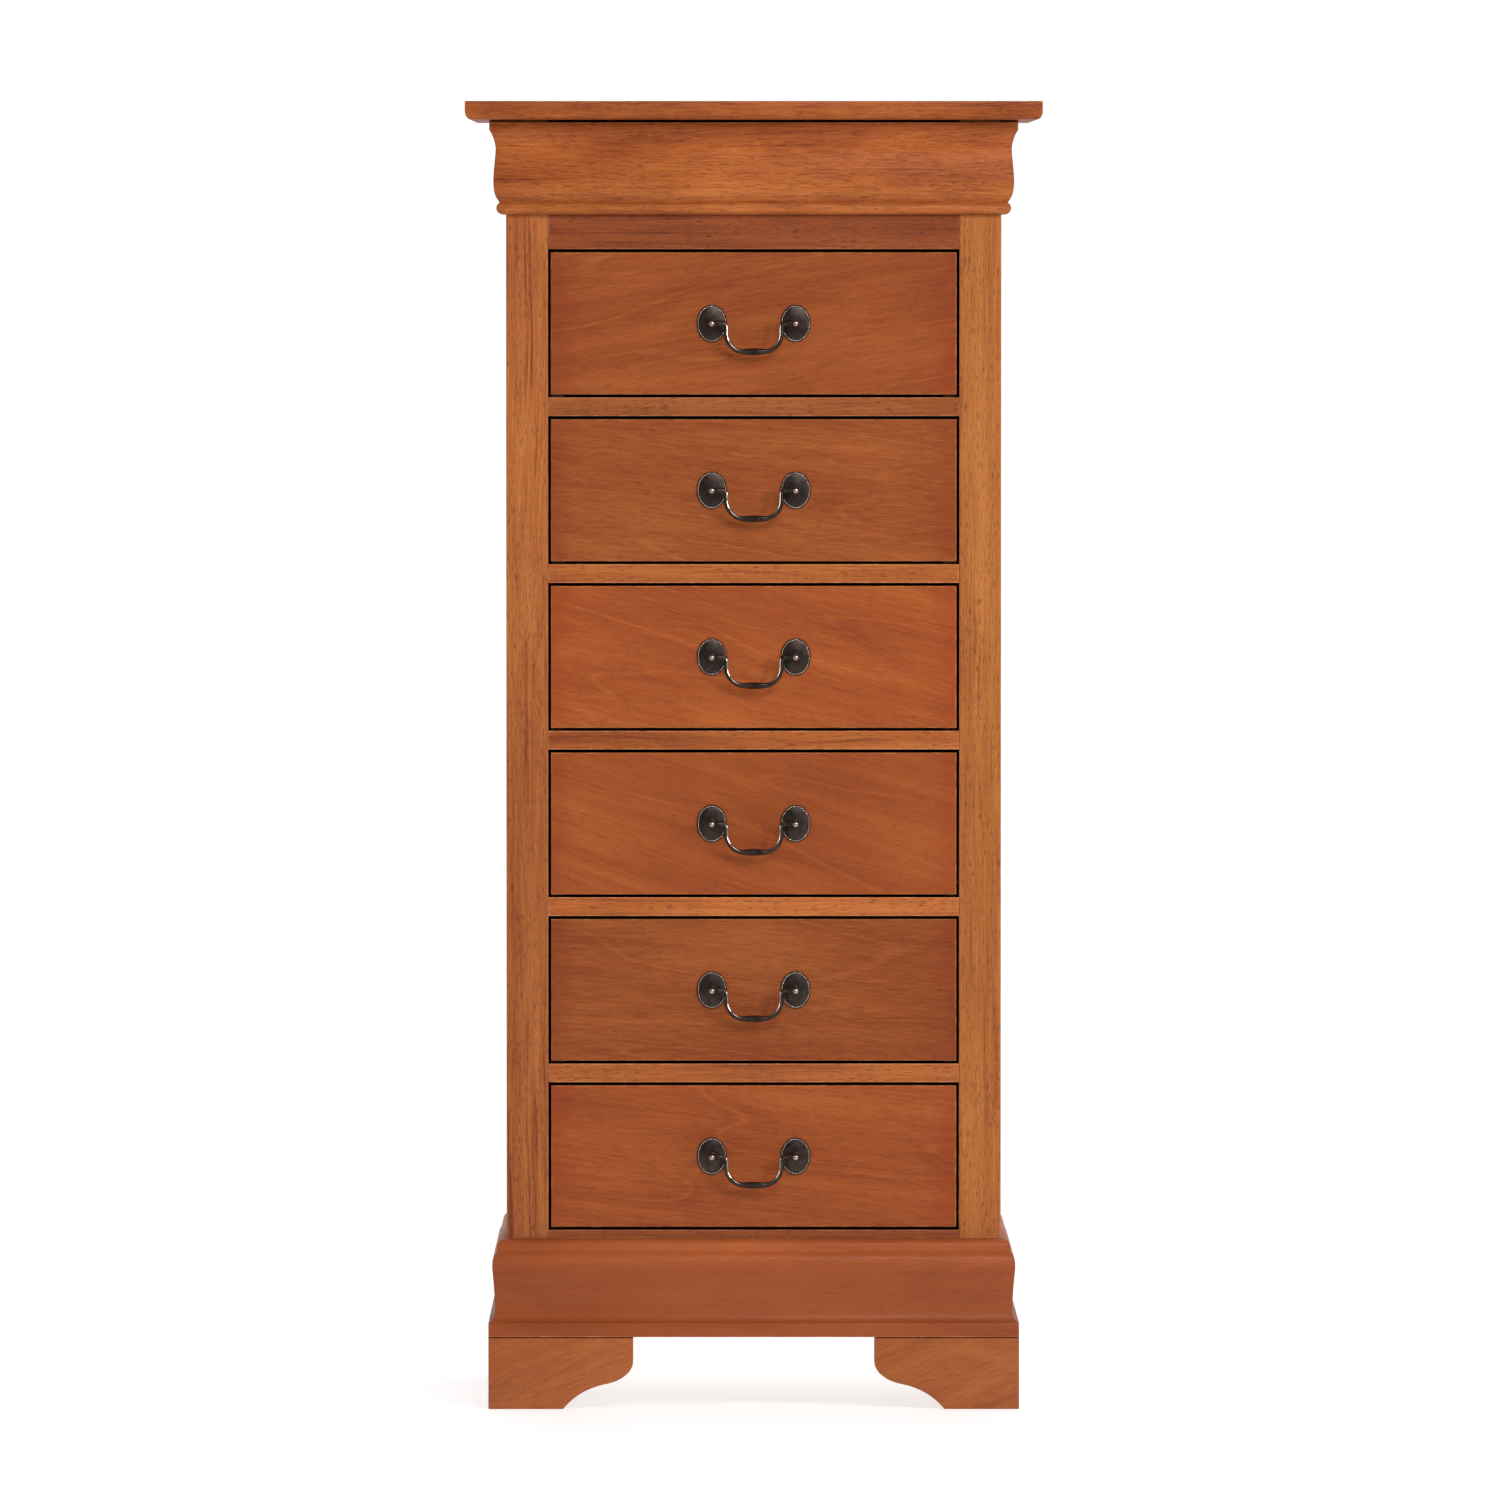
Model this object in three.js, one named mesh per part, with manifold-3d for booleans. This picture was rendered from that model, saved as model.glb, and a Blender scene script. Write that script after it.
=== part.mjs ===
// Semainier: a tall, narrow chest with a drawer for each day of the week. Six drawers show
// bail pulls, and the seventh hides behind the mitred frieze moulding under the top.
// Millimetres, +Z up. The front looks along -Y, and the origin is on the floor under the
// middle of the top board.
import * as THREE from "three";
import { mergeVertices } from "three/addons/utils/BufferGeometryUtils.js";
import Module from "manifold-3d";

const wasm = await Module();
wasm.setup();

// The case, and the heights that stack up from the floor
const body = {
  width: 490,
  depth: 362,
  footHeight: 71.5,
  plinthHeight: 97.2,
  bottomReveal: 8.1,
  openingHeight: 146.7,
  railHeight: 18.4,
  friezeRailHeight: 42.5,
  friezeSpace: 85.1,
  shownDrawers: 6,
};

// Room left between pieces
const fit = {
  glueLine: 0.1,
  joint: 0.2,
  mitre: 0.3,
  drawerMitre: 0.8,
  closing: 0.4,
  runner: 0.3,
  guide: 0.8,
  stop: 0.4,
  pivot: 0.3,
  bore: 0.4,
};

// How far a cutting tool runs past the face that it cuts
const overrun = 2;

const topBoard = {
  overhang: 40,
  rearOverhang: 4,
  thickness: 18.4,
  edgeHeight: 8.6,
  edgeInset: 6.2,
  arris: 0.8,
  edgeSteps: 5,
};

const post = {
  width: 41.5,
  thickness: 22,
  arris: 1,
  mortiseDepth: 8,
  mortiseThickness: 10,
  mortiseSetback: 6,
};

const sidePanel = {
  thickness: 15,
  tongueThickness: 5,
  tongueLength: 6,
  dadoDepth: 4,
  rebateWidth: 7,
};

const backPanel = { thickness: 5, setback: 1 };

const webFrame = {
  railDepth: 45,
  runnerBearing: 14,
  backRailDepth: 40,
  guideHeight: 12,
  tenonHeightShare: 0.5,
  stopLength: 24,
  stopDepth: 12,
  stopHeight: 6,
  stopPlaceShare: 0.6,
};

// The frieze: a bead, an ogee and a fillet. Ogee points are shares of the projection and of
// the height between the bead and the fillet.
const frieze = {
  overlap: 8.4,
  gap: 2.5,
  projection: 16.3,
  beadHeight: 12.8,
  beadProjection: 9.4,
  filletHeight: 8.3,
  ogeeShares: [
    [0.42, 0],
    [0.66, 0.1],
    [0.75, 0.24],
    [0.74, 0.38],
    [0.685, 0.54],
    [0.615, 0.73],
    [0.68, 0.845],
    [0.83, 0.945],
    [0.96, 1],
  ],
  curveSteps: 2,
};

// The plinth: a fillet, a reversed ogee and a bead. Ogee points as above, from the fillet up.
const plinth = {
  ledge: 14,
  projection: 18,
  filletHeight: 14,
  beadHeight: 12.3,
  beadProjection: 9.3,
  beadReturn: 4.4,
  ogeeShares: [
    [0.95, 0],
    [0.76, 0.05],
    [0.655, 0.13],
    [0.64, 0.27],
    [0.685, 0.46],
    [0.745, 0.65],
    [0.79, 0.79],
    [0.73, 0.91],
    [0.5, 1],
  ],
  curveSteps: 2,
};

// A bracket foot's outline, as shares of its width and height
const foot = {
  frontWidth: 143.5,
  sideWidth: 125,
  rearWidth: 95,
  thickness: 20,
  blockSize: 34,
  blockLift: 3,
  toeShare: 0.516,
  archShares: [
    [0.585, 0.168],
    [0.676, 0.294],
    [0.822, 0.352],
  ],
  noseShares: [
    [0.92, 0.392],
    [1, 0.517],
    [1, 0.662],
  ],
  rearToeShare: 0.6,
  curveSteps: 7,
};

const drawer = {
  sideGap: 2.7,
  topGap: 3.2,
  bottomGap: 2.9,
  frontThickness: 19,
  arris: 1,
  boxGap: 3.3,
  headroom: 18.4,
  rearGap: 19,
  sideThickness: 12,
  grooveLift: 8,
  grooveDepth: 5,
  bottomThickness: 4,
};

// Half-blind dovetails at the front of each side. Shares of the pitch between tails.
const dovetail = { count: 4, length: 12, rootShare: 0.29, tipShare: 0.38 };

const tray = { wall: 12, headroom: 19.7, rearGap: 21.2, bottomLift: 6, bottomThickness: 4 };

// The bail pull. Distances called out are measured from the drawer front outwards.
const pull = {
  spacing: 83,
  pivotOut: 13,
  wireRadius: 2.4,
};

// The oval rosette and its turned post
const rosette = {
  height: 37,
  width: 30.3,
  rimOut: 2.6,
  rimWidth: 2.6,
  edgeOut: 1.2,
  dishOut: 1.3,
  bossRadius: 6,
  bossOut: 3.4,
  sides: 18,
};

const spindle = {
  neckRadius: 3,
  eyeRadius: 3.9,
  eyeHalfLength: 3.6,
  ballRadius: 4,
  ballNeckRadius: 2.2,
  ballOut: 21,
  shankRadius: 2.2,
  nutRadius: 4.4,
  nutThickness: 3.2,
  shankStub: 1.6,
  sides: 10,
  ballSteps: 4,
  nutSides: 6,
};

const bail = {
  drop: 27.9,
  legInset: 14.2,
  bendRadius: 4,
  gripRadius: 3.4,
  gripHalfLength: 17,
  cornerWidthShare: 0.66,
  cornerHeightShare: 0.65,
  pinRadius: 1.5,
  pinReach: 1.2,
  flangeRadius: 3.4,
  flangeThickness: 1.3,
  sides: 8,
  bendSteps: 2,
  cornerSteps: 5,
  gripSteps: 2,
};

// Heights and places that follow from the sizes above
const plinthTop = body.footHeight + body.plinthHeight;
const bottomRailTop = plinthTop + body.bottomReveal;
const pitch = body.openingHeight + body.railHeight;
const friezeRailBottom = bottomRailTop + body.shownDrawers * pitch - body.railHeight;
const friezeRailTop = friezeRailBottom + body.friezeRailHeight;
const topUnderside = friezeRailTop + body.friezeSpace;
const friezeBottom = friezeRailTop - frieze.overlap;
const friezeHeight = topUnderside - frieze.gap - friezeBottom;
const topWidth = body.width + 2 * topBoard.overhang;
const topDepth = body.depth + topBoard.overhang + topBoard.rearOverhang;
const faceY = topBoard.overhang - topDepth / 2;
const halfWidth = body.width / 2;
const halfOpening = halfWidth - post.width;
const panelInner = halfWidth - sidePanel.thickness;
const backInner = body.depth - backPanel.setback - backPanel.thickness;
const boxHalf = halfOpening - drawer.boxGap;
const frontHalf = halfOpening - drawer.sideGap;
const frontHeight = body.openingHeight - drawer.topGap - drawer.bottomGap;
const boxHeight = body.openingHeight - fit.runner - drawer.headroom;
const boxRear = backInner - drawer.rearGap;
const runnerInner = boxHalf - drawer.sideThickness - webFrame.runnerBearing;

// Height of the top of each shown rail, from the bottom one up
const railTops = Array.from({ length: body.shownDrawers }, (_, i) => bottomRailTop + i * pitch);

const stainedWood = new THREE.MeshStandardMaterial({
  name: "stained_wood",
  color: 0xa5582f,
  roughness: 0.4,
  metalness: 0,
});
const drawerWood = new THREE.MeshStandardMaterial({
  name: "drawer_wood",
  color: 0xc9a36f,
  roughness: 0.65,
  metalness: 0,
});
const backBoard = new THREE.MeshStandardMaterial({
  name: "back_board",
  color: 0x8a6542,
  roughness: 0.8,
  metalness: 0,
});
const bronze = new THREE.MeshStandardMaterial({
  name: "antique_bronze",
  color: 0x3a322e,
  roughness: 0.35,
  metalness: 0.9,
});

/** A closed geometry as a solid that can be cut and joined. */
function solidOf(geometry) {
  const bare = geometry.clone();
  bare.deleteAttribute("normal");
  bare.deleteAttribute("uv");
  const merged = mergeVertices(bare);
  const mesh = new wasm.Mesh({
    numProp: 3,
    vertProperties: merged.attributes.position.array,
    triVerts: new Uint32Array(merged.index.array),
  });
  return new wasm.Manifold(mesh);
}

/** A solid as a geometry again. */
function geometryOf(solid) {
  const mesh = solid.getMesh();
  const geometry = new THREE.BufferGeometry();
  geometry.setAttribute("position", new THREE.BufferAttribute(mesh.vertProperties, 3));
  geometry.setIndex(new THREE.BufferAttribute(mesh.triVerts, 1));
  geometry.computeVertexNormals();
  return geometry;
}

function joined(...geometries) {
  return geometryOf(geometries.map(solidOf).reduce((whole, part) => whole.add(part)));
}

function cut(geometry, tools) {
  return geometryOf(tools.map(solidOf).reduce((rest, tool) => rest.subtract(tool), solidOf(geometry)));
}

/** A box between a low and a high limit on each axis. */
function block([x0, x1], [y0, y1], [z0, z1]) {
  return new THREE.BoxGeometry(x1 - x0, y1 - y0, z1 - z0)
    .translate((x0 + x1) / 2, (y0 + y1) / 2, (z0 + z1) / 2);
}

function both(half) {
  return [-half, half];
}

/** The same limits on the other side of the middle. */
function across([low, high]) {
  return [-high, -low];
}

/** A shape in Y and Z, extruded along X between two limits. */
function extrudedAlongX(shape, [x0, x1], curveSegments) {
  const turn = new THREE.Matrix4().makeBasis(
    new THREE.Vector3(0, 1, 0),
    new THREE.Vector3(0, 0, 1),
    new THREE.Vector3(1, 0, 0),
  );
  const options = { depth: x1 - x0, bevelEnabled: false, curveSegments };
  return new THREE.ExtrudeGeometry(shape, options).applyMatrix4(turn).translate(x0, 0, 0);
}

/** A shape in X and Z, extruded along Y between two limits. */
function extrudedAlongY(shape, [y0, y1], curveSegments) {
  const options = { depth: y1 - y0, bevelEnabled: false, curveSegments };
  return new THREE.ExtrudeGeometry(shape, options).rotateX(Math.PI / 2).translate(0, y1, 0);
}

/** A shape in X and Y, extruded along Z between two limits. */
function extrudedAlongZ(shape, [z0, z1]) {
  const options = { depth: z1 - z0, bevelEnabled: false };
  return new THREE.ExtrudeGeometry(shape, options).translate(0, 0, z0);
}

function polygon(points) {
  return new THREE.Shape(points.map(([u, v]) => new THREE.Vector2(u, v)));
}

/**
 * A closed body through loops that have the same number of corners and turn anticlockwise
 * about the way they are stacked. The cap is the loops' outline in the plane.
 */
function loft(loops, cap) {
  const corners = loops[0].length;
  const faces = [];
  for (let level = 0; level + 1 < loops.length; level += 1) {
    for (let i = 0; i < corners; i += 1) {
      const a = level * corners + i;
      const b = level * corners + ((i + 1) % corners);
      faces.push(a, b, b + corners, a, b + corners, a + corners);
    }
  }
  const last = (loops.length - 1) * corners;
  for (const [a, b, c] of THREE.ShapeUtils.triangulateShape([...cap], [])) {
    faces.push(c, b, a);
    faces.push(last + a, last + b, last + c);
  }
  const geometry = new THREE.BufferGeometry();
  const places = loops.flat().flatMap((corner) => corner.toArray());
  geometry.setAttribute("position", new THREE.Float32BufferAttribute(places, 3));
  geometry.setIndex(faces);
  geometry.computeVertexNormals();
  return geometry;
}

/**
 * A length of moulding along X. Its outline is in distance out (towards -Y) and height. A
 * mitred end reaches as much further as the outline stands out.
 */
function mouldingRun(outline, [x0, x1], mitreStart, mitreEnd) {
  const section = outline.map((p) => new THREE.Vector2(-p.x, p.y));
  if (THREE.ShapeUtils.isClockWise(section)) {
    section.reverse();
  }
  const start = section.map((p) => new THREE.Vector3(x0 + mitreStart * p.x, p.x, p.y));
  const end = section.map((p) => new THREE.Vector3(x1 - mitreEnd * p.x, p.x, p.y));
  return loft([start, end], section);
}

/** The frieze moulding's outline, from its back out and round. */
function friezeOutline(back, height) {
  const ogeeHeight = friezeHeight - frieze.beadHeight - frieze.filletHeight;
  const beadRadius = frieze.beadHeight / 2;
  const beadCentre = frieze.beadProjection - beadRadius;
  const filletBottom = frieze.beadHeight + ogeeHeight;
  const shape = new THREE.Path();
  shape.moveTo(back, 0);
  shape.lineTo(beadCentre, 0);
  shape.absarc(beadCentre, beadRadius, beadRadius, -Math.PI / 2, Math.PI / 3, false);
  const ogee = frieze.ogeeShares.map(
    ([out, up]) => new THREE.Vector2(out * frieze.projection, frieze.beadHeight + up * ogeeHeight),
  );
  shape.lineTo(ogee[0].x, ogee[0].y);
  shape.splineThru(ogee.slice(1));
  shape.lineTo(frieze.projection, filletBottom);
  shape.lineTo(frieze.projection, height);
  shape.lineTo(back, height);
  return shape.getPoints(frieze.curveSteps);
}

/** The plinth moulding's outline. Its back stands under the posts and side panels. */
function plinthOutline(back) {
  const ogeeHeight = body.plinthHeight - plinth.filletHeight - plinth.beadHeight;
  const quirk = plinth.filletHeight + ogeeHeight;
  const shape = new THREE.Path();
  shape.moveTo(back, 0);
  shape.lineTo(plinth.projection, 0);
  shape.lineTo(plinth.projection, plinth.filletHeight);
  const ogee = plinth.ogeeShares.map(
    ([out, up]) => new THREE.Vector2(out * plinth.projection, plinth.filletHeight + up * ogeeHeight),
  );
  shape.lineTo(ogee[0].x, ogee[0].y);
  shape.splineThru(ogee.slice(1));
  const beadBottom = quirk + plinth.beadReturn;
  shape.lineTo(plinth.beadProjection, beadBottom);
  const beadRise = body.plinthHeight - beadBottom;
  shape.absellipse(0, beadBottom, plinth.beadProjection, beadRise, 0, Math.PI / 2, false, 0);
  shape.lineTo(back, body.plinthHeight);
  return shape.getPoints(plinth.curveSteps);
}

/** The top: a rounded under edge at the front and sides, and a square back. */
function topGeometry() {
  const edge = new THREE.EllipseCurve(
    topBoard.edgeInset,
    topBoard.edgeHeight,
    topBoard.edgeInset,
    topBoard.edgeHeight,
    -Math.PI / 2,
    -Math.PI,
    true,
    0,
  );
  const section = [
    ...edge.getPoints(topBoard.edgeSteps),
    new THREE.Vector2(0, topBoard.thickness - topBoard.arris),
    new THREE.Vector2(topBoard.arris, topBoard.thickness),
  ];
  const loopAt = (inset, up) => [
    new THREE.Vector3(inset - topWidth / 2, inset - topDepth / 2, up),
    new THREE.Vector3(topWidth / 2 - inset, inset - topDepth / 2, up),
    new THREE.Vector3(topWidth / 2 - inset, topDepth / 2, up),
    new THREE.Vector3(inset - topWidth / 2, topDepth / 2, up),
  ];
  const loops = section.map((p) => loopAt(p.x, p.y));
  return loft(loops, loops[0].map((p) => new THREE.Vector2(p.x, p.y)));
}

/** The left front post, grooved for the side panel and mortised for each rail. */
function postGeometry() {
  const outer = halfWidth;
  const inner = halfOpening;
  const grooveLow = outer - (sidePanel.thickness + sidePanel.tongueThickness) / 2 - fit.joint;
  const grooveHigh = grooveLow + sidePanel.tongueThickness + 2 * fit.joint;
  const grooveEnd = post.thickness - sidePanel.tongueLength - fit.joint;
  const plan = polygon([
    [-outer + post.arris, 0],
    [-inner - post.arris, 0],
    [-inner, post.arris],
    [-inner, post.thickness],
    [-grooveLow, post.thickness],
    [-grooveLow, grooveEnd],
    [-grooveHigh, grooveEnd],
    [-grooveHigh, post.thickness],
    [-outer, post.thickness],
    [-outer, post.arris],
  ]);
  const whole = extrudedAlongZ(plan, [plinthTop + fit.glueLine, topUnderside - fit.glueLine]);
  const mortises = frames.map(({ top, tenonHeight, tenonMiddle }) =>
    block(
      [-inner - post.mortiseDepth - fit.joint, overrun - inner],
      [
        post.mortiseSetback - fit.joint,
        post.mortiseSetback + post.mortiseThickness + fit.joint,
      ],
      [
        top - tenonMiddle - tenonHeight / 2 - fit.joint,
        top - tenonMiddle + tenonHeight / 2 + fit.joint,
      ],
    ),
  );
  return cut(whole, mortises);
}

/** The left side panel: a tongue at the front, a housing for each frame, a rebate behind. */
function sidePanelGeometry() {
  const front = post.thickness + fit.glueLine;
  const high = topUnderside - fit.glueLine;
  const low = plinthTop + fit.glueLine;
  const tongueMiddle = halfWidth - sidePanel.thickness / 2;
  const panel = block([-halfWidth, -panelInner], [front, body.depth], [low, high]);
  const tongue = block(
    [-tongueMiddle - sidePanel.tongueThickness / 2, -tongueMiddle + sidePanel.tongueThickness / 2],
    [front - sidePanel.tongueLength, front + overrun],
    [low, high],
  );
  const housings = frames.map(({ top, thickness }) =>
    block(
      [-panelInner - sidePanel.dadoDepth, overrun - panelInner],
      [front - overrun, body.depth + overrun],
      [top - thickness - fit.joint, top + fit.joint],
    ),
  );
  const rebate = block(
    [-panelInner - sidePanel.rebateWidth, overrun - panelInner],
    [backInner, body.depth + overrun],
    [low - overrun, high + overrun],
  );
  return cut(joined(panel, tongue), [...housings, rebate]);
}

/**
 * A web frame: the front rail that shows, its two runners and the rail behind, with the
 * guides that keep a drawer straight and the blocks that stop a shown drawer flush. Its top
 * is at height 0.
 */
function webFrameGeometry({ thickness, reveal, tenonHeight, tenonMiddle, stops }) {
  const narrow = halfOpening - fit.glueLine;
  const wide = panelInner + sidePanel.dadoDepth - fit.joint;
  const shoulder = post.thickness + fit.glueLine;
  const rear = backInner - fit.joint;
  const plan = polygon([
    [-narrow, 0],
    [narrow, 0],
    [narrow, shoulder],
    [wide, shoulder],
    [wide, rear],
    [-wide, rear],
    [-wide, shoulder],
    [-narrow, shoulder],
  ]);
  plan.holes.push(
    polygon([
      [-runnerInner, webFrame.railDepth],
      [-runnerInner, rear - webFrame.backRailDepth],
      [runnerInner, rear - webFrame.backRailDepth],
      [runnerInner, webFrame.railDepth],
    ]),
  );
  const pieces = [extrudedAlongZ(plan, [-thickness, 0])];
  const guide = [boxHalf + fit.guide, panelInner - fit.glueLine];
  const tenon = [narrow - overrun, narrow + post.mortiseDepth - fit.joint];
  for (const limits of [guide, across(guide)]) {
    pieces.push(block(limits, [shoulder, rear], [-overrun, webFrame.guideHeight]));
  }
  for (const limits of [tenon, across(tenon)]) {
    pieces.push(
      block(
        limits,
        [post.mortiseSetback, post.mortiseSetback + post.mortiseThickness],
        [-tenonMiddle - tenonHeight / 2, -tenonMiddle + tenonHeight / 2],
      ),
    );
  }
  const stopMiddle = boxHalf * webFrame.stopPlaceShare;
  const stop = [stopMiddle - webFrame.stopLength / 2, stopMiddle + webFrame.stopLength / 2];
  const stopFront = drawer.frontThickness + fit.stop;
  for (const limits of stops ? [stop, across(stop)] : []) {
    pieces.push(
      block(limits, [stopFront, stopFront + webFrame.stopDepth], [-overrun, webFrame.stopHeight]),
    );
  }
  const frame = joined(...pieces);
  if (reveal === thickness) {
    return frame;
  }
  // The bottom frame is rebated over the plinth boards.
  const seat = [-thickness - overrun, fit.glueLine - reveal];
  const beside = [panelInner - fit.glueLine, wide + overrun];
  const run = [-overrun, rear + overrun];
  return cut(frame, [
    block(both(wide + overrun), [-overrun, plinth.ledge + fit.glueLine], seat),
    block(beside, run, seat),
    block(across(beside), run, seat),
  ]);
}

// Each web frame from the bottom up. The frieze frame is deeper and carries the hidden drawer.
const frames = [
  ...railTops.map((top, i) => ({
    name: i ? `web_frame_${body.shownDrawers - i}` : "bottom_frame",
    top,
    thickness: body.railHeight,
    reveal: i ? body.railHeight : body.bottomReveal,
    stops: true,
  })),
  {
    name: "frieze_frame",
    top: friezeRailTop,
    thickness: body.friezeRailHeight,
    reveal: body.friezeRailHeight,
    stops: false,
  },
].map((frame) => ({
  ...frame,
  tenonHeight: frame.reveal * webFrame.tenonHeightShare,
  tenonMiddle: frame.reveal / 2,
}));

/** The outline of a bracket foot, from its outer corner inwards. */
function bracketShape(width, height) {
  const at = ([across_, up]) => [across_ * width, up * height];
  const shape = new THREE.Shape();
  shape.moveTo(0, 0);
  shape.lineTo(foot.toeShare * width, 0);
  shape.bezierCurveTo(...foot.archShares.flatMap(at));
  shape.bezierCurveTo(...foot.noseShares.flatMap(at));
  shape.lineTo(width, height);
  shape.lineTo(0, height);
  return shape;
}

/** A foot at its outer corner: a crosswise piece, a side bracket and the block behind them. */
function footGeometry(crosswise) {
  const height = body.footHeight - fit.glueLine;
  const blockLimits = [foot.thickness - overrun, foot.thickness + foot.blockSize];
  const side = bracketShape(foot.sideWidth, height);
  return joined(
    extrudedAlongY(crosswise, [0, foot.thickness], foot.curveSteps),
    extrudedAlongX(side, [0, foot.thickness], foot.curveSteps),
    block(blockLimits, blockLimits, [foot.blockLift, height]),
  );
}

/** Places of the dovetails' middles up a side. */
function tailMiddles() {
  const tailPitch = boxHeight / dovetail.count;
  return Array.from({ length: dovetail.count }, (_, i) => fit.runner + (i + 0.5) * tailPitch);
}

/** A shown drawer's front: eased edges, sockets for the tails, a groove and two bores. */
function drawerFrontGeometry() {
  const low = drawer.bottomGap;
  const high = low + frontHeight;
  const loopAt = (inset, y) => [
    new THREE.Vector3(inset - frontHalf, y, low + inset),
    new THREE.Vector3(inset - frontHalf, y, high - inset),
    new THREE.Vector3(frontHalf - inset, y, high - inset),
    new THREE.Vector3(frontHalf - inset, y, low + inset),
  ];
  const loops = [
    loopAt(drawer.arris, 0),
    loopAt(0, drawer.arris),
    loopAt(0, drawer.frontThickness),
  ];
  const board = loft(loops, loops[0].map((p) => new THREE.Vector2(p.z, p.x)));
  const tailPitch = boxHeight / dovetail.count;
  const root = dovetail.rootShare * tailPitch + fit.joint;
  const tip = dovetail.tipShare * tailPitch + fit.joint;
  const deep = drawer.frontThickness - dovetail.length - fit.joint;
  const open = drawer.frontThickness + overrun;
  const socket = [boxHalf - drawer.sideThickness - fit.joint, frontHalf + overrun];
  const tools = tailMiddles().flatMap((middle) => {
    const outline = polygon([
      [deep, middle - tip],
      [open, middle - root],
      [open, middle + root],
      [deep, middle + tip],
    ]);
    return [extrudedAlongX(outline, socket), extrudedAlongX(outline, across(socket))];
  });
  tools.push(
    block(
      both(boxHalf - drawer.sideThickness + fit.joint),
      [drawer.frontThickness - drawer.grooveDepth, open],
      grooveLimits(),
    ),
  );
  const boreRadius = spindle.shankRadius + fit.bore;
  for (const x of both(pull.spacing / 2)) {
    const bore = new THREE.CylinderGeometry(
      boreRadius,
      boreRadius,
      drawer.frontThickness + 2 * overrun,
      spindle.sides,
    );
    tools.push(bore.translate(x, drawer.frontThickness / 2, low + frontHeight / 2));
  }
  return cut(board, tools);
}

function grooveLimits() {
  const low = fit.runner + drawer.grooveLift;
  return [low, low + drawer.bottomThickness + 2 * fit.joint];
}

/** A shown drawer's two sides and back. The bottom slides in under the back. */
function drawerBoxGeometry() {
  const low = fit.runner;
  const high = low + boxHeight;
  const root = drawer.frontThickness + fit.joint;
  const tip = root - dovetail.length;
  const tailPitch = boxHeight / dovetail.count;
  const rootHalf = dovetail.rootShare * tailPitch;
  const tipHalf = dovetail.tipShare * tailPitch;
  const tails = tailMiddles().flatMap((middle) => [
    [root, middle - rootHalf],
    [tip, middle - tipHalf],
    [tip, middle + tipHalf],
    [root, middle + rootHalf],
  ]);
  const outline = polygon([[boxRear, high], [boxRear, low], [root, low], ...tails, [root, high]]);
  const inner = boxHalf - drawer.sideThickness;
  const side = [inner, boxHalf];
  const groove = [inner - overrun, inner + drawer.grooveDepth];
  const run = [tip - overrun, boxRear + overrun];
  const back = block(
    both(inner + fit.joint),
    [boxRear - drawer.sideThickness, boxRear],
    [grooveLimits()[1] + fit.joint, high],
  );
  const box = joined(extrudedAlongX(outline, side), extrudedAlongX(outline, across(side)), back);
  return cut(box, [
    block(groove, run, grooveLimits()),
    block(across(groove), run, grooveLimits()),
  ]);
}

function drawerBottomGeometry() {
  const [low, high] = grooveLimits();
  return block(
    both(boxHalf - drawer.sideThickness + drawer.grooveDepth - fit.joint),
    [drawer.frontThickness - drawer.grooveDepth + fit.joint, boxRear],
    [low + fit.joint, high - fit.joint],
  );
}

/** The hidden drawer's tray, with its own front between the posts. */
function trayGeometry() {
  const low = fit.runner;
  const front = -fit.joint;
  const rear = backInner - tray.rearGap;
  const high = body.friezeSpace - tray.headroom;
  const floor = low + tray.bottomLift + tray.bottomThickness;
  const whole = block(both(boxHalf), [front, rear], [low, high]);
  const inner = boxHalf - tray.wall;
  const well = [front + tray.wall, rear - tray.wall];
  return cut(whole, [
    block(both(inner), well, [floor, high + overrun]),
    block(both(inner), well, [low - overrun, low + tray.bottomLift]),
  ]);
}

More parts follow.
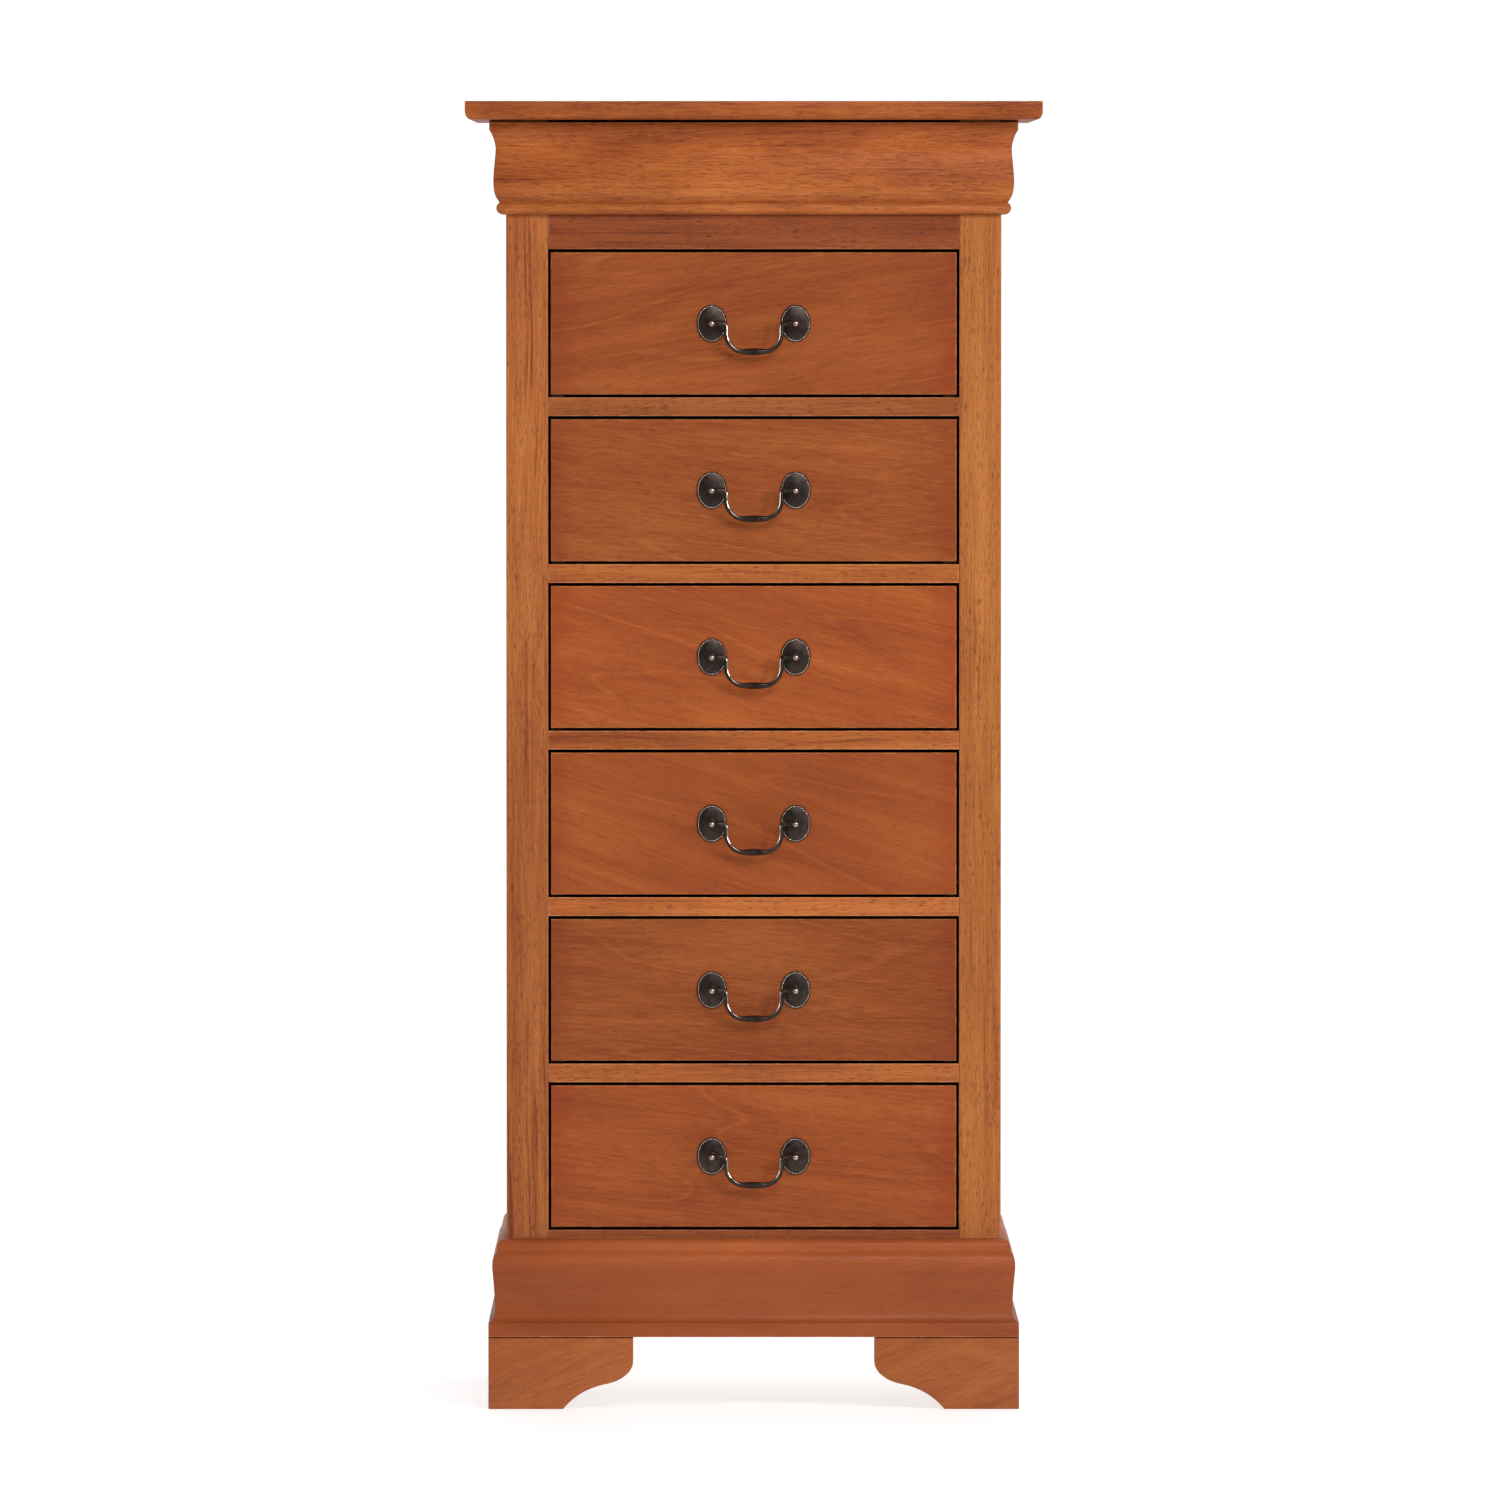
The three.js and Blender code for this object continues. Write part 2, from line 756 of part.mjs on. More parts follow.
/** The left rosette, its post with the eye for the bail, and the shank and nut behind. */
function rosetteGeometry() {
  const outer = rosette.height / 2;
  const crest = outer - rosette.rimWidth / 2;
  const rimInner = outer - rosette.rimWidth;
  const plateProfile = [
    [0, fit.glueLine],
    [outer, fit.glueLine],
    [outer, rosette.edgeOut],
    [crest, rosette.rimOut],
    [rimInner, rosette.dishOut],
    [rosette.bossRadius, rosette.bossOut],
    [0, rosette.bossOut],
  ];
  const plate = turned(plateProfile, rosette.sides).scale(rosette.width / rosette.height, 1, 1);
  const behind = -drawer.frontThickness - fit.glueLine;
  const nutOuter = behind - spindle.nutThickness;
  const ballDip = Math.sqrt(spindle.ballRadius ** 2 - spindle.ballNeckRadius ** 2);
  const ballStart = Math.asin(-ballDip / spindle.ballRadius);
  const ball = Array.from({ length: spindle.ballSteps }, (_, i) => {
    const angle = ballStart + ((Math.PI / 2 - ballStart) * i) / spindle.ballSteps;
    return [
      spindle.ballRadius * Math.cos(angle),
      spindle.ballOut + spindle.ballRadius * Math.sin(angle),
    ];
  });
  const spindleProfile = [
    [0, nutOuter - spindle.shankStub],
    [spindle.shankRadius, nutOuter - spindle.shankStub],
    [spindle.shankRadius, rosette.bossOut / 2],
    [spindle.neckRadius, rosette.bossOut],
    [spindle.neckRadius, pull.pivotOut - spindle.eyeHalfLength],
    [spindle.eyeRadius, pull.pivotOut - spindle.eyeHalfLength / 2],
    [spindle.eyeRadius, pull.pivotOut + spindle.eyeHalfLength / 2],
    [spindle.ballNeckRadius, pull.pivotOut + spindle.eyeHalfLength],
    ...ball,
    [0, spindle.ballOut + spindle.ballRadius],
  ];
  const nut = new THREE.CylinderGeometry(
    spindle.nutRadius,
    spindle.nutRadius,
    spindle.nutThickness,
    spindle.nutSides,
  ).translate(0, -behind + spindle.nutThickness / 2, 0);
  const eyeRadius = bail.pinRadius + fit.pivot;
  const eyeDepth = bail.pinReach + fit.pivot;
  const eye = new THREE.CylinderGeometry(
    eyeRadius,
    eyeRadius,
    spindle.eyeRadius + overrun + eyeDepth,
    bail.sides,
  )
    .rotateZ(Math.PI / 2)
    .translate((spindle.eyeRadius + overrun - eyeDepth) / 2, -pull.pivotOut, 0);
  return cut(joined(plate, turned(spindleProfile, spindle.sides), nut), [eye]);
}

/** A profile of radius and distance out, turned about an axis that points along -Y. */
function turned(profile, sides) {
  const points = profile.map(([radius, out]) => new THREE.Vector2(radius, out));
  return new THREE.LatheGeometry(points, sides).rotateX(Math.PI);
}

/** Half of the bail's centreline in X and Z, from the pin's tip to the middle of the grip. */
function bailHalfLine() {
  const hinge = pull.spacing / 2;
  const leg = hinge - bail.legInset;
  const cornerWidth = leg * bail.cornerWidthShare;
  const cornerHeight = bail.drop * bail.cornerHeightShare;
  const flangeOuter = hinge - spindle.eyeRadius - fit.pivot;
  const flangeInner = flangeOuter - bail.flangeThickness;
  const stations = [
    [hinge + bail.pinReach, 0, bail.pinRadius],
    [flangeOuter, 0, bail.pinRadius],
    [flangeOuter, 0, bail.flangeRadius],
    [flangeInner, 0, bail.flangeRadius],
    [flangeInner, 0, pull.wireRadius],
  ];
  const bend = new THREE.EllipseCurve(
    leg + bail.bendRadius,
    -bail.bendRadius,
    bail.bendRadius,
    bail.bendRadius,
    Math.PI / 2,
    Math.PI,
    false,
    0,
  );
  const corner = new THREE.EllipseCurve(
    leg - cornerWidth,
    cornerHeight - bail.drop,
    cornerWidth,
    cornerHeight,
    0,
    -Math.PI / 2,
    true,
    0,
  );
  const curves = [...bend.getPoints(bail.bendSteps), ...corner.getPoints(bail.cornerSteps)];
  const flat = leg - cornerWidth;
  for (let i = 1; i <= bail.gripSteps; i += 1) {
    curves.push(new THREE.Vector2(flat * (1 - i / bail.gripSteps), -bail.drop));
  }
  for (const p of curves) {
    const near = 1 - THREE.MathUtils.smoothstep(Math.abs(p.x), 0, bail.gripHalfLength);
    stations.push([p.x, p.y, pull.wireRadius + near * (bail.gripRadius - pull.wireRadius)]);
  }
  return stations;
}

/** The bail: one bent rod with its pivot on the X axis, swelling to a grip in the middle. */
function bailGeometry() {
  const half = bailHalfLine();
  const mirrored = half.slice(0, -1).reverse().map(([x, z, radius]) => [-x, z, radius]);
  const stations = [...half, ...mirrored];
  const unit = Array.from({ length: bail.sides }, (_, i) => {
    const angle = (2 * Math.PI * i) / bail.sides;
    return new THREE.Vector2(Math.cos(angle), Math.sin(angle));
  });
  const outward = new THREE.Vector3(0, 1, 0);
  const places = stations.map(([x, z]) => new THREE.Vector3(x, 0, z));
  const loops = stations.map(([, , radius], i) => {
    const along = directionAt(places, i);
    const aside = new THREE.Vector3().crossVectors(along, outward);
    return unit.map((p) =>
      places[i]
        .clone()
        .addScaledVector(outward, radius * p.x)
        .addScaledVector(aside, radius * p.y),
    );
  });
  return loft(loops, unit);
}

/** The direction of a line of points at one of them, past points in the same place. */
function directionAt(places, i) {
  const here = places[i];
  const before = places.slice(0, i).reverse().find((p) => !p.equals(here));
  const after = places.slice(i + 1).find((p) => !p.equals(here));
  const into = before ? here.clone().sub(before).normalize() : new THREE.Vector3();
  const out = after ? after.clone().sub(here).normalize() : new THREE.Vector3();
  return into.add(out).normalize();
}

function piece(name, geometry, material) {
  const mesh = new THREE.Mesh(geometry, material);
  mesh.name = name;
  return mesh;
}

/** The same geometry twice, the second one mirrored to the right. */
function pair(name, geometry, material) {
  const left = piece(`${name}_left`, geometry, material);
  const right = piece(`${name}_right`, geometry, material);
  right.scale.x = -1;
  return [left, right];
}

/** The case: top, posts, side panels, back, web frames and the frieze's side mouldings. */
function carcass() {
  const group = new THREE.Group();
  group.position.y = faceY;
  const top = piece("top_board", topGeometry(), stainedWood);
  top.position.set(0, -faceY, topUnderside);
  const back = block(
    both(panelInner + sidePanel.rebateWidth - fit.joint),
    [backInner + fit.glueLine, backInner + backPanel.thickness],
    [plinthTop + fit.glueLine, topUnderside - fit.glueLine],
  );
  group.add(
    top,
    ...pair("front_post", postGeometry(), stainedWood),
    ...pair("side_panel", sidePanelGeometry(), stainedWood),
    piece("back_panel", back, backBoard),
  );
  for (const frame of frames) {
    const mesh = piece(frame.name, webFrameGeometry(frame), stainedWood);
    mesh.position.z = frame.top;
    group.add(mesh);
  }
  group.add(...friezeReturns());
  return group;
}

/** The fixed mouldings on the sides, mitred to meet the hidden drawer's front. */
function friezeReturns() {
  const outline = friezeOutline(fit.glueLine, topUnderside - fit.glueLine - friezeBottom);
  return sideRuns("frieze_return", outline, fit.drawerMitre / 2, friezeBottom);
}

/** A left and a right moulding along the sides, mitred in front and square behind. */
function sideRuns(name, outline, mitreGap, height) {
  const geometry = mouldingRun(outline, [-body.depth, -mitreGap], 0, 1);
  return pair(name, geometry.rotateZ(-Math.PI / 2).translate(-halfWidth, 0, height), stainedWood);
}

function plinthBoards() {
  const front = mouldingRun(plinthOutline(-plinth.ledge), both(halfWidth - fit.mitre / 2), 1, 1);
  const mesh = piece("plinth_front", front, stainedWood);
  mesh.position.z = body.footHeight;
  const group = new THREE.Group();
  group.position.y = faceY;
  const outline = plinthOutline(-sidePanel.thickness);
  group.add(mesh, ...sideRuns("plinth_side", outline, fit.mitre / 2, body.footHeight));
  return group;
}

function feet() {
  const height = body.footHeight - fit.glueLine;
  const brace = polygon([
    [0, 0],
    [foot.rearToeShare * foot.rearWidth, 0],
    [foot.rearWidth, height],
    [0, height],
  ]);
  const front = pair("foot_front", footGeometry(bracketShape(foot.frontWidth, height)), stainedWood);
  const rear = pair("foot_rear", footGeometry(brace), stainedWood);
  for (const mesh of [...front, ...rear]) {
    mesh.position.x = -mesh.scale.x * (halfWidth + plinth.projection);
    mesh.position.y = faceY - plinth.projection;
  }
  for (const mesh of rear) {
    mesh.scale.y = -1;
    mesh.position.y = faceY + body.depth;
  }
  return [...front, ...rear];
}

/** One shown drawer with its pull. Its group stands on the runners, at the face of the case. */
function shownDrawer(number, geometries) {
  const name = `drawer_${number}`;
  const group = new THREE.Group();
  const handle = new THREE.Group();
  handle.position.z = drawer.bottomGap + frontHeight / 2;
  const left = piece(`${name}_pull_left`, geometries.rosette, bronze);
  left.position.x = -pull.spacing / 2;
  const right = piece(`${name}_pull_right`, geometries.rosette, bronze);
  right.position.x = pull.spacing / 2;
  right.rotation.y = Math.PI;
  const swing = piece(`${name}_bail`, geometries.bail, bronze);
  swing.position.y = -pull.pivotOut;
  handle.add(left, right, swing);
  group.add(
    piece(`${name}_front`, geometries.front, stainedWood),
    piece(`${name}_box`, geometries.box, drawerWood),
    piece(`${name}_bottom`, geometries.bottom, drawerWood),
    handle,
  );
  return group;
}

/** The drawer hidden in the frieze: the mitred moulding is its front. */
function hiddenDrawer() {
  const group = new THREE.Group();
  const outline = friezeOutline(fit.closing, friezeHeight);
  const run = both(halfWidth - fit.drawerMitre / 2);
  const front = piece("frieze_drawer_front", mouldingRun(outline, run, 1, 1), stainedWood);
  front.position.z = friezeBottom - friezeRailTop;
  group.add(front, piece("frieze_drawer_tray", trayGeometry(), drawerWood));
  group.position.set(0, faceY, friezeRailTop);
  return group;
}

function drawers() {
  const geometries = {
    front: drawerFrontGeometry(),
    box: drawerBoxGeometry(),
    bottom: drawerBottomGeometry(),
    rosette: rosetteGeometry(),
    bail: bailGeometry(),
  };
  return railTops.map((height, i) => {
    const group = shownDrawer(body.shownDrawers - i, geometries);
    group.position.set(0, faceY, height);
    return group;
  });
}

const semainier = new THREE.Group();
semainier.name = "semainier";
semainier.add(carcass(), plinthBoards(), ...feet(), hiddenDrawer(), ...drawers());

export default semainier;
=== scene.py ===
"""The looks of a semainier: its finishes, fine mouldings and pulls, and the studio round it."""

import logging
import math
from abc import ABC, abstractmethod
from collections.abc import Callable, Iterable
from dataclasses import dataclass, replace
from enum import Enum, IntEnum

import bmesh
import bpy
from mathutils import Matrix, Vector


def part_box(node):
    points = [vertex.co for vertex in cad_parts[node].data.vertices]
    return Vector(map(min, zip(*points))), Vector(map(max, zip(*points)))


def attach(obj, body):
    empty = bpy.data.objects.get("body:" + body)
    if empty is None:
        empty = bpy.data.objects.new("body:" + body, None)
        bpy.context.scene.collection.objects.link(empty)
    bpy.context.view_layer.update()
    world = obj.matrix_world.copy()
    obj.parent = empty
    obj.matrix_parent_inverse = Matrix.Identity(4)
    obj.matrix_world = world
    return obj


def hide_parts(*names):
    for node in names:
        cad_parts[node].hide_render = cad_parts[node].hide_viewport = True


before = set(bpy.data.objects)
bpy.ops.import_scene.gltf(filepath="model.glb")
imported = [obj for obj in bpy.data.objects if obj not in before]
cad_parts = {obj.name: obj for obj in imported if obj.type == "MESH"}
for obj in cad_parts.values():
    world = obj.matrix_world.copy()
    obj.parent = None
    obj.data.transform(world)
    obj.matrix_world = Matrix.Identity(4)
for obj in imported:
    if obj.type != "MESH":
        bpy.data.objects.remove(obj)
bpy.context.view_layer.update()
MM = 0.001
MERGE = 0.001 * MM
LEAST_STEP = 0.1 * MERGE
FLUSH = 0.1 * MM
BOARD_STRIDE = (1.37, 0.83, 2.11)
WHITE = (1.0, 1.0, 1.0, 1.0)

Point = tuple[float, float]
Place = tuple[float, float, float]
Socket = bpy.types.NodeSocket
Fed = Socket | float | tuple[float, ...]
Piece = bpy.types.Object
Material = bpy.types.Material

log = logging.getLogger("semainier")


@dataclass(frozen=True)
class Tint:
    """A colour as it looks on a display, 0 to 255 a channel."""

    red: float
    green: float
    blue: float

    def linear(self, share: float = 1.0) -> tuple[float, float, float, float]:
        """The colour in linear light, for a shader.

        Args:
            share: How much of the light to keep.

        Returns:
            Red, green, blue and an alpha of 1.
        """
        channels = []
        for shown in (self.red, self.green, self.blue):
            part = shown / 255
            light = part / 12.92 if part <= 0.04045 else ((part + 0.055) / 1.055) ** 2.4
            channels.append(light * share)
        return (*channels, 1.0)


@dataclass(frozen=True)
class Box:
    """A box between a low and a high corner, in metres."""

    low: Vector
    high: Vector

    @classmethod
    def of(cls, node: str) -> "Box":
        """The box of a CAD node."""
        return cls(*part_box(node))

    @classmethod
    def of_front_face(cls, node: str, depth: float) -> "Box":
        """The box of what a node shows in front, such as a frame's rail.

        Args:
            node: The CAD node.
            depth: How far back the box reaches.

        Returns:
            The box of the corners that lie on the node's front plane, made that deep.
        """
        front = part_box(node)[0].y
        corners = [v.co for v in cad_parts[node].data.vertices]
        face = [co for co in corners if abs(co.y - front) < FLUSH]
        low = Vector((min(co.x for co in face), front, min(co.z for co in face)))
        high = Vector((max(co.x for co in face), front + depth, max(co.z for co in face)))
        return cls(low, high)

    @property
    def middle(self) -> Vector:
        """The box's middle."""
        return (self.low + self.high) / 2


class Grain(Enum):
    """The way that a board's grain runs, as turns about X, Y and Z into the pattern's X."""

    ACROSS = (0.0, 0.0, 0.0)
    UP = (0.0, math.pi / 2, 0.0)
    BACK = (0.0, 0.0, -math.pi / 2)

    def leaning(self, lean: float) -> Place:
        """The turns of a pattern that leans against the board by an angle."""
        x, y, z = self.value
        return (x, y + lean, z)


class Seed(IntEnum):
    """Where in the endless pattern the first board of each kind is cut from."""

    TOP = 3
    POSTS = 10
    PANELS = 20
    BACK = 30
    RAILS = 40
    FRIEZE = 50
    PLINTH = 55
    FEET = 60
    FEET_SIDES = 70
    FRONTS = 71
    BOXES = 81
    BOTTOMS = 91
    TRAY = 99


class Side(Enum):
    """The left and the right of the chest."""

    LEFT = -1
    RIGHT = 1

    @property
    def word(self) -> str:
        """The side's name, as node names end."""
        return self.name.lower()


@dataclass(frozen=True)
class Noise:
    """A noise around a half: lumps a unit of place, finer layers, and how strong those are.

    The stretch shortens the place along X, the way of the grain, so that lumps are longer there.
    """

    scale: float
    detail: float = 2.0
    roughness: float = 0.5
    stretch: float = 1.0


class NodeBoard:
    """Adds and wires the nodes of a material or a world."""

    def __init__(self, owner: Material | bpy.types.World) -> None:
        """Take the owner's nodes in hand as Blender starts them.

        Args:
            owner: The material or world.
        """
        owner.use_nodes = True
        self.owner = owner
        self.nodes = owner.node_tree.nodes
        self.links = owner.node_tree.links

    def feed(self, target: Socket, value: Fed) -> None:
        """Link a socket to a target, or set the target's value.

        Args:
            target: The socket.
            value: The socket to link, or the value to set.
        """
        if isinstance(value, bpy.types.NodeSocket):
            self.links.new(value, target)
        else:
            target.default_value = value

    def node(self, kind: str, inputs: dict[int | str, Fed], **settings: str) -> bpy.types.Node:
        """A new node.

        Args:
            kind: What it is, in Blender's word.
            inputs: What goes into which of its sockets.
            settings: What else is set on it.

        Returns:
            The node.
        """
        node = self.nodes.new(f"ShaderNode{kind}")
        for name, value in settings.items():
            setattr(node, name, value)
        for socket, value in inputs.items():
            self.feed(node.inputs[socket], value)
        return node

    def shade(self, values: dict[str, Fed]) -> None:
        """Feed the sockets of the material's Principled shader."""
        for socket, value in values.items():
            self.feed(self.nodes["Principled BSDF"].inputs[socket], value)

    def maths(self, operation: str, *values: Fed) -> Socket:
        """What a Math node makes of values, in order."""
        return self.node("Math", dict(enumerate(values)), operation=operation).outputs[0]

    def vector(self, operation: str, first: Fed, second: Fed) -> Socket:
        """What a Vector Math node makes of two vectors."""
        return self.node("VectorMath", {0: first, 1: second}, operation=operation).outputs[0]

    def parts(self, vector: Socket) -> bpy.types.NodeOutputs:
        """The X, Y and Z of a vector."""
        return self.node("SeparateXYZ", {0: vector}).outputs

    def place(self) -> Socket:
        """Where a point is, in the chest's own frame."""
        return self.node("TexCoord", {}).outputs["Object"]

    def mapped(self, turn: Place, shift: Place) -> Socket:
        """The place, turned about X, Y and Z and then shifted."""
        inputs = {"Vector": self.place(), "Rotation": turn, "Location": shift}
        return self.node("Mapping", inputs).outputs[0]

    def noise(self, place: Socket, noise: Noise, output: int = 0) -> Socket:
        """A noise.

        Args:
            place: Where it is read.
            noise: Its lumps.
            output: 0 for one value, or 1 for three as a vector.

        Returns:
            Its output.
        """
        if noise.stretch != 1.0:
            place = self.vector("MULTIPLY", place, (noise.stretch, 1.0, 1.0))
        inputs = {
            "Vector": place,
            "Scale": noise.scale,
            "Detail": noise.detail,
            "Roughness": noise.roughness,
        }
        return self.node("TexNoise", inputs).outputs[output]

    def between(self, value: Fed, low: float, high: float) -> Socket:
        """Smoothly 0 below low and 1 above high; with low above high it falls instead.

        Args:
            value: What is measured.
            low: The value that gives 0.
            high: The value that gives 1.

        Returns:
            The share.
        """
        rising = low < high
        inputs = {
            "Value": value,
            "From Min": min(low, high),
            "From Max": max(low, high),
            "To Min": 0.0 if rising else 1.0,
            "To Max": 1.0 if rising else 0.0,
        }
        return self.node("MapRange", inputs, interpolation_type="SMOOTHSTEP").outputs[0]

    def inside(self, box: Box) -> list[Socket]:
        """How far inside a box a point lies along X, Y and Z, below 0 outside it.

        Args:
            box: The box.

        Returns:
            The three distances.
        """
        parts = self.parts(self.place())
        return [
            self.maths(
                "MINIMUM",
                self.maths("SUBTRACT", parts[i], box.low[i]),
                self.maths("SUBTRACT", box.high[i], parts[i]),
            )
            for i in range(3)
        ]

    def ramp(self, value: Socket, colours: Iterable[tuple[float, ...]]) -> Socket:
        """A ramp with its colours spread evenly.

        Args:
            value: Where on the ramp, 0 to 1.
            colours: The colours, from 0 up.

        Returns:
            The colour there.
        """
        stops = list(colours)
        node = self.node("ValToRGB", {0: value})
        elements = node.color_ramp.elements
        while len(elements) < len(stops):
            elements.new(0.5)
        for i, colour in enumerate(stops):
            elements[i].position = i / (len(stops) - 1)
            elements[i].color = colour
        return node.outputs[0]

    def mix(self, share: Fed, first: Fed, second: Fed) -> Socket:
        """Two colours mixed, with this share of the second."""
        return self.node("Mix", {0: share, 6: first, 7: second}, data_type="RGBA").outputs[2]

    def bump(self, height: Socket, distance: float, under: Socket | None = None) -> Socket:
        """A bump.

        Args:
            height: The height, about 0 to 1.
            distance: How far 1 stands out, in metres.
            under: A bump that this one goes on top of.

        Returns:
            The bent normal.
        """
        inputs = {"Height": height, "Distance": distance}
        if under is not None:
            inputs["Normal"] = under
        return self.node("Bump", inputs).outputs[0]


def cut_from(seed: int) -> Place:
    """Where in the endless pattern a board is cut from, in metres."""
    return tuple(step * seed for step in BOARD_STRIDE)


@dataclass(frozen=True)
class BareWood:
    """The pale wood inside: sanded, unstained and matt.

    A fibre is one unit of a place that is scaled along and across the grain.
    """

    light: Tint = Tint(222, 190, 143)
    dark: Tint = Tint(188, 148, 99)
    along: float = 9.0
    across: float = 420.0
    fibres: Noise = Noise(1.0, 5.0, 0.6)
    rings: Noise = Noise(0.2, 3.0, 0.65)
    raised: Noise = Noise(1.0, 3.0)
    fibre_share: float = 0.35
    ring_share: float = 0.7
    cloud_share: float = 0.2
    pale_range: Point = (0.42, 0.72)
    roughness: float = 0.68
    fibre_depth: float = 0.05 * MM

    def _scaled(self, board: NodeBoard, spot: Socket) -> Socket:
        """A spot counted in fibres."""
        return board.vector("MULTIPLY", spot, (self.along, self.across, self.across))

    def colour(self, board: NodeBoard, spot: Socket) -> Socket:
        """The wood's colour at a spot whose X runs along the grain.

        Args:
            board: The material's nodes.
            spot: The place, with its X along the grain.

        Returns:
            The colour.
        """
        scaled = self._scaled(board, spot)
        fibres = board.maths("MULTIPLY", board.noise(scaled, self.fibres), self.fibre_share)
        rings = board.noise(scaled, self.rings)
        value = board.maths("MULTIPLY_ADD", rings, self.ring_share, fibres)
        clouds = board.noise(spot, Noise(self.along))
        value = board.maths("MULTIPLY_ADD", clouds, self.cloud_share, value)
        pale = board.between(value, *self.pale_range)
        return board.mix(pale, self.dark.linear(), self.light.linear())

    def material(self, name: str, grain: Grain, seed: int) -> Material:
        """A material of this wood.

        Args:
            name: The material's name.
            grain: The way the grain runs.
            seed: Which part of the endless pattern the board is cut from.

        Returns:
            The material.
        """
        board = NodeBoard(bpy.data.materials.new(name))
        spot = board.mapped(grain.value, cut_from(seed))
        raised = board.noise(self._scaled(board, spot), self.raised)
        board.shade(
            {
                "Base Color": self.colour(board, spot),
                "Roughness": self.roughness,
                "Normal": board.bump(raised, self.fibre_depth),
            }
        )
        return board.owner


@dataclass(frozen=True)
class Fade:
    """Painted light: a board made lighter between two heights, where the lamps light it more.

    Its own colour holds at the start, and at the end it has gained, by a factor a channel.
    """

    start: float
    end: float
    gain: Place

    def paint_light(self, board: NodeBoard, colour: Socket) -> Socket:
        """A colour with the painted light on it.

        Args:
            board: The material's nodes.
            colour: The colour so far.

        Returns:
            The colour, lighter where the light is painted.
        """
        height = board.parts(board.place())[2]
        share = board.between(height, self.start, self.end)
        return board.mix(share, colour, board.vector("MULTIPLY", colour, self.gain))


@dataclass(frozen=True)
class Cut:
    """One piece of stained wood, how it was cut and what was done to it.

    Args:
        label: The piece's name.
        grain: The way its grain runs.
        seed: Which part of the endless pattern it is cut from.
        tone: How light it is beside its neighbours.
        edges: The box along whose edges light lines are drawn, part wear and part painted
            highlight, if the piece is a board.
        stained_back_to: How far back the stain reaches, in Y; past it the wood is bare.
        painted_shade_in: The box in which shade is painted: there the colour goes dark and the
            gloss goes.
        fade: Where light is painted on it, between two heights.
    """

    label: str
    grain: Grain
    seed: int
    tone: float = 1.0
    edges: Box | None = None
    stained_back_to: float | None = None
    painted_shade_in: Box | None = None
    fade: Fade | None = None


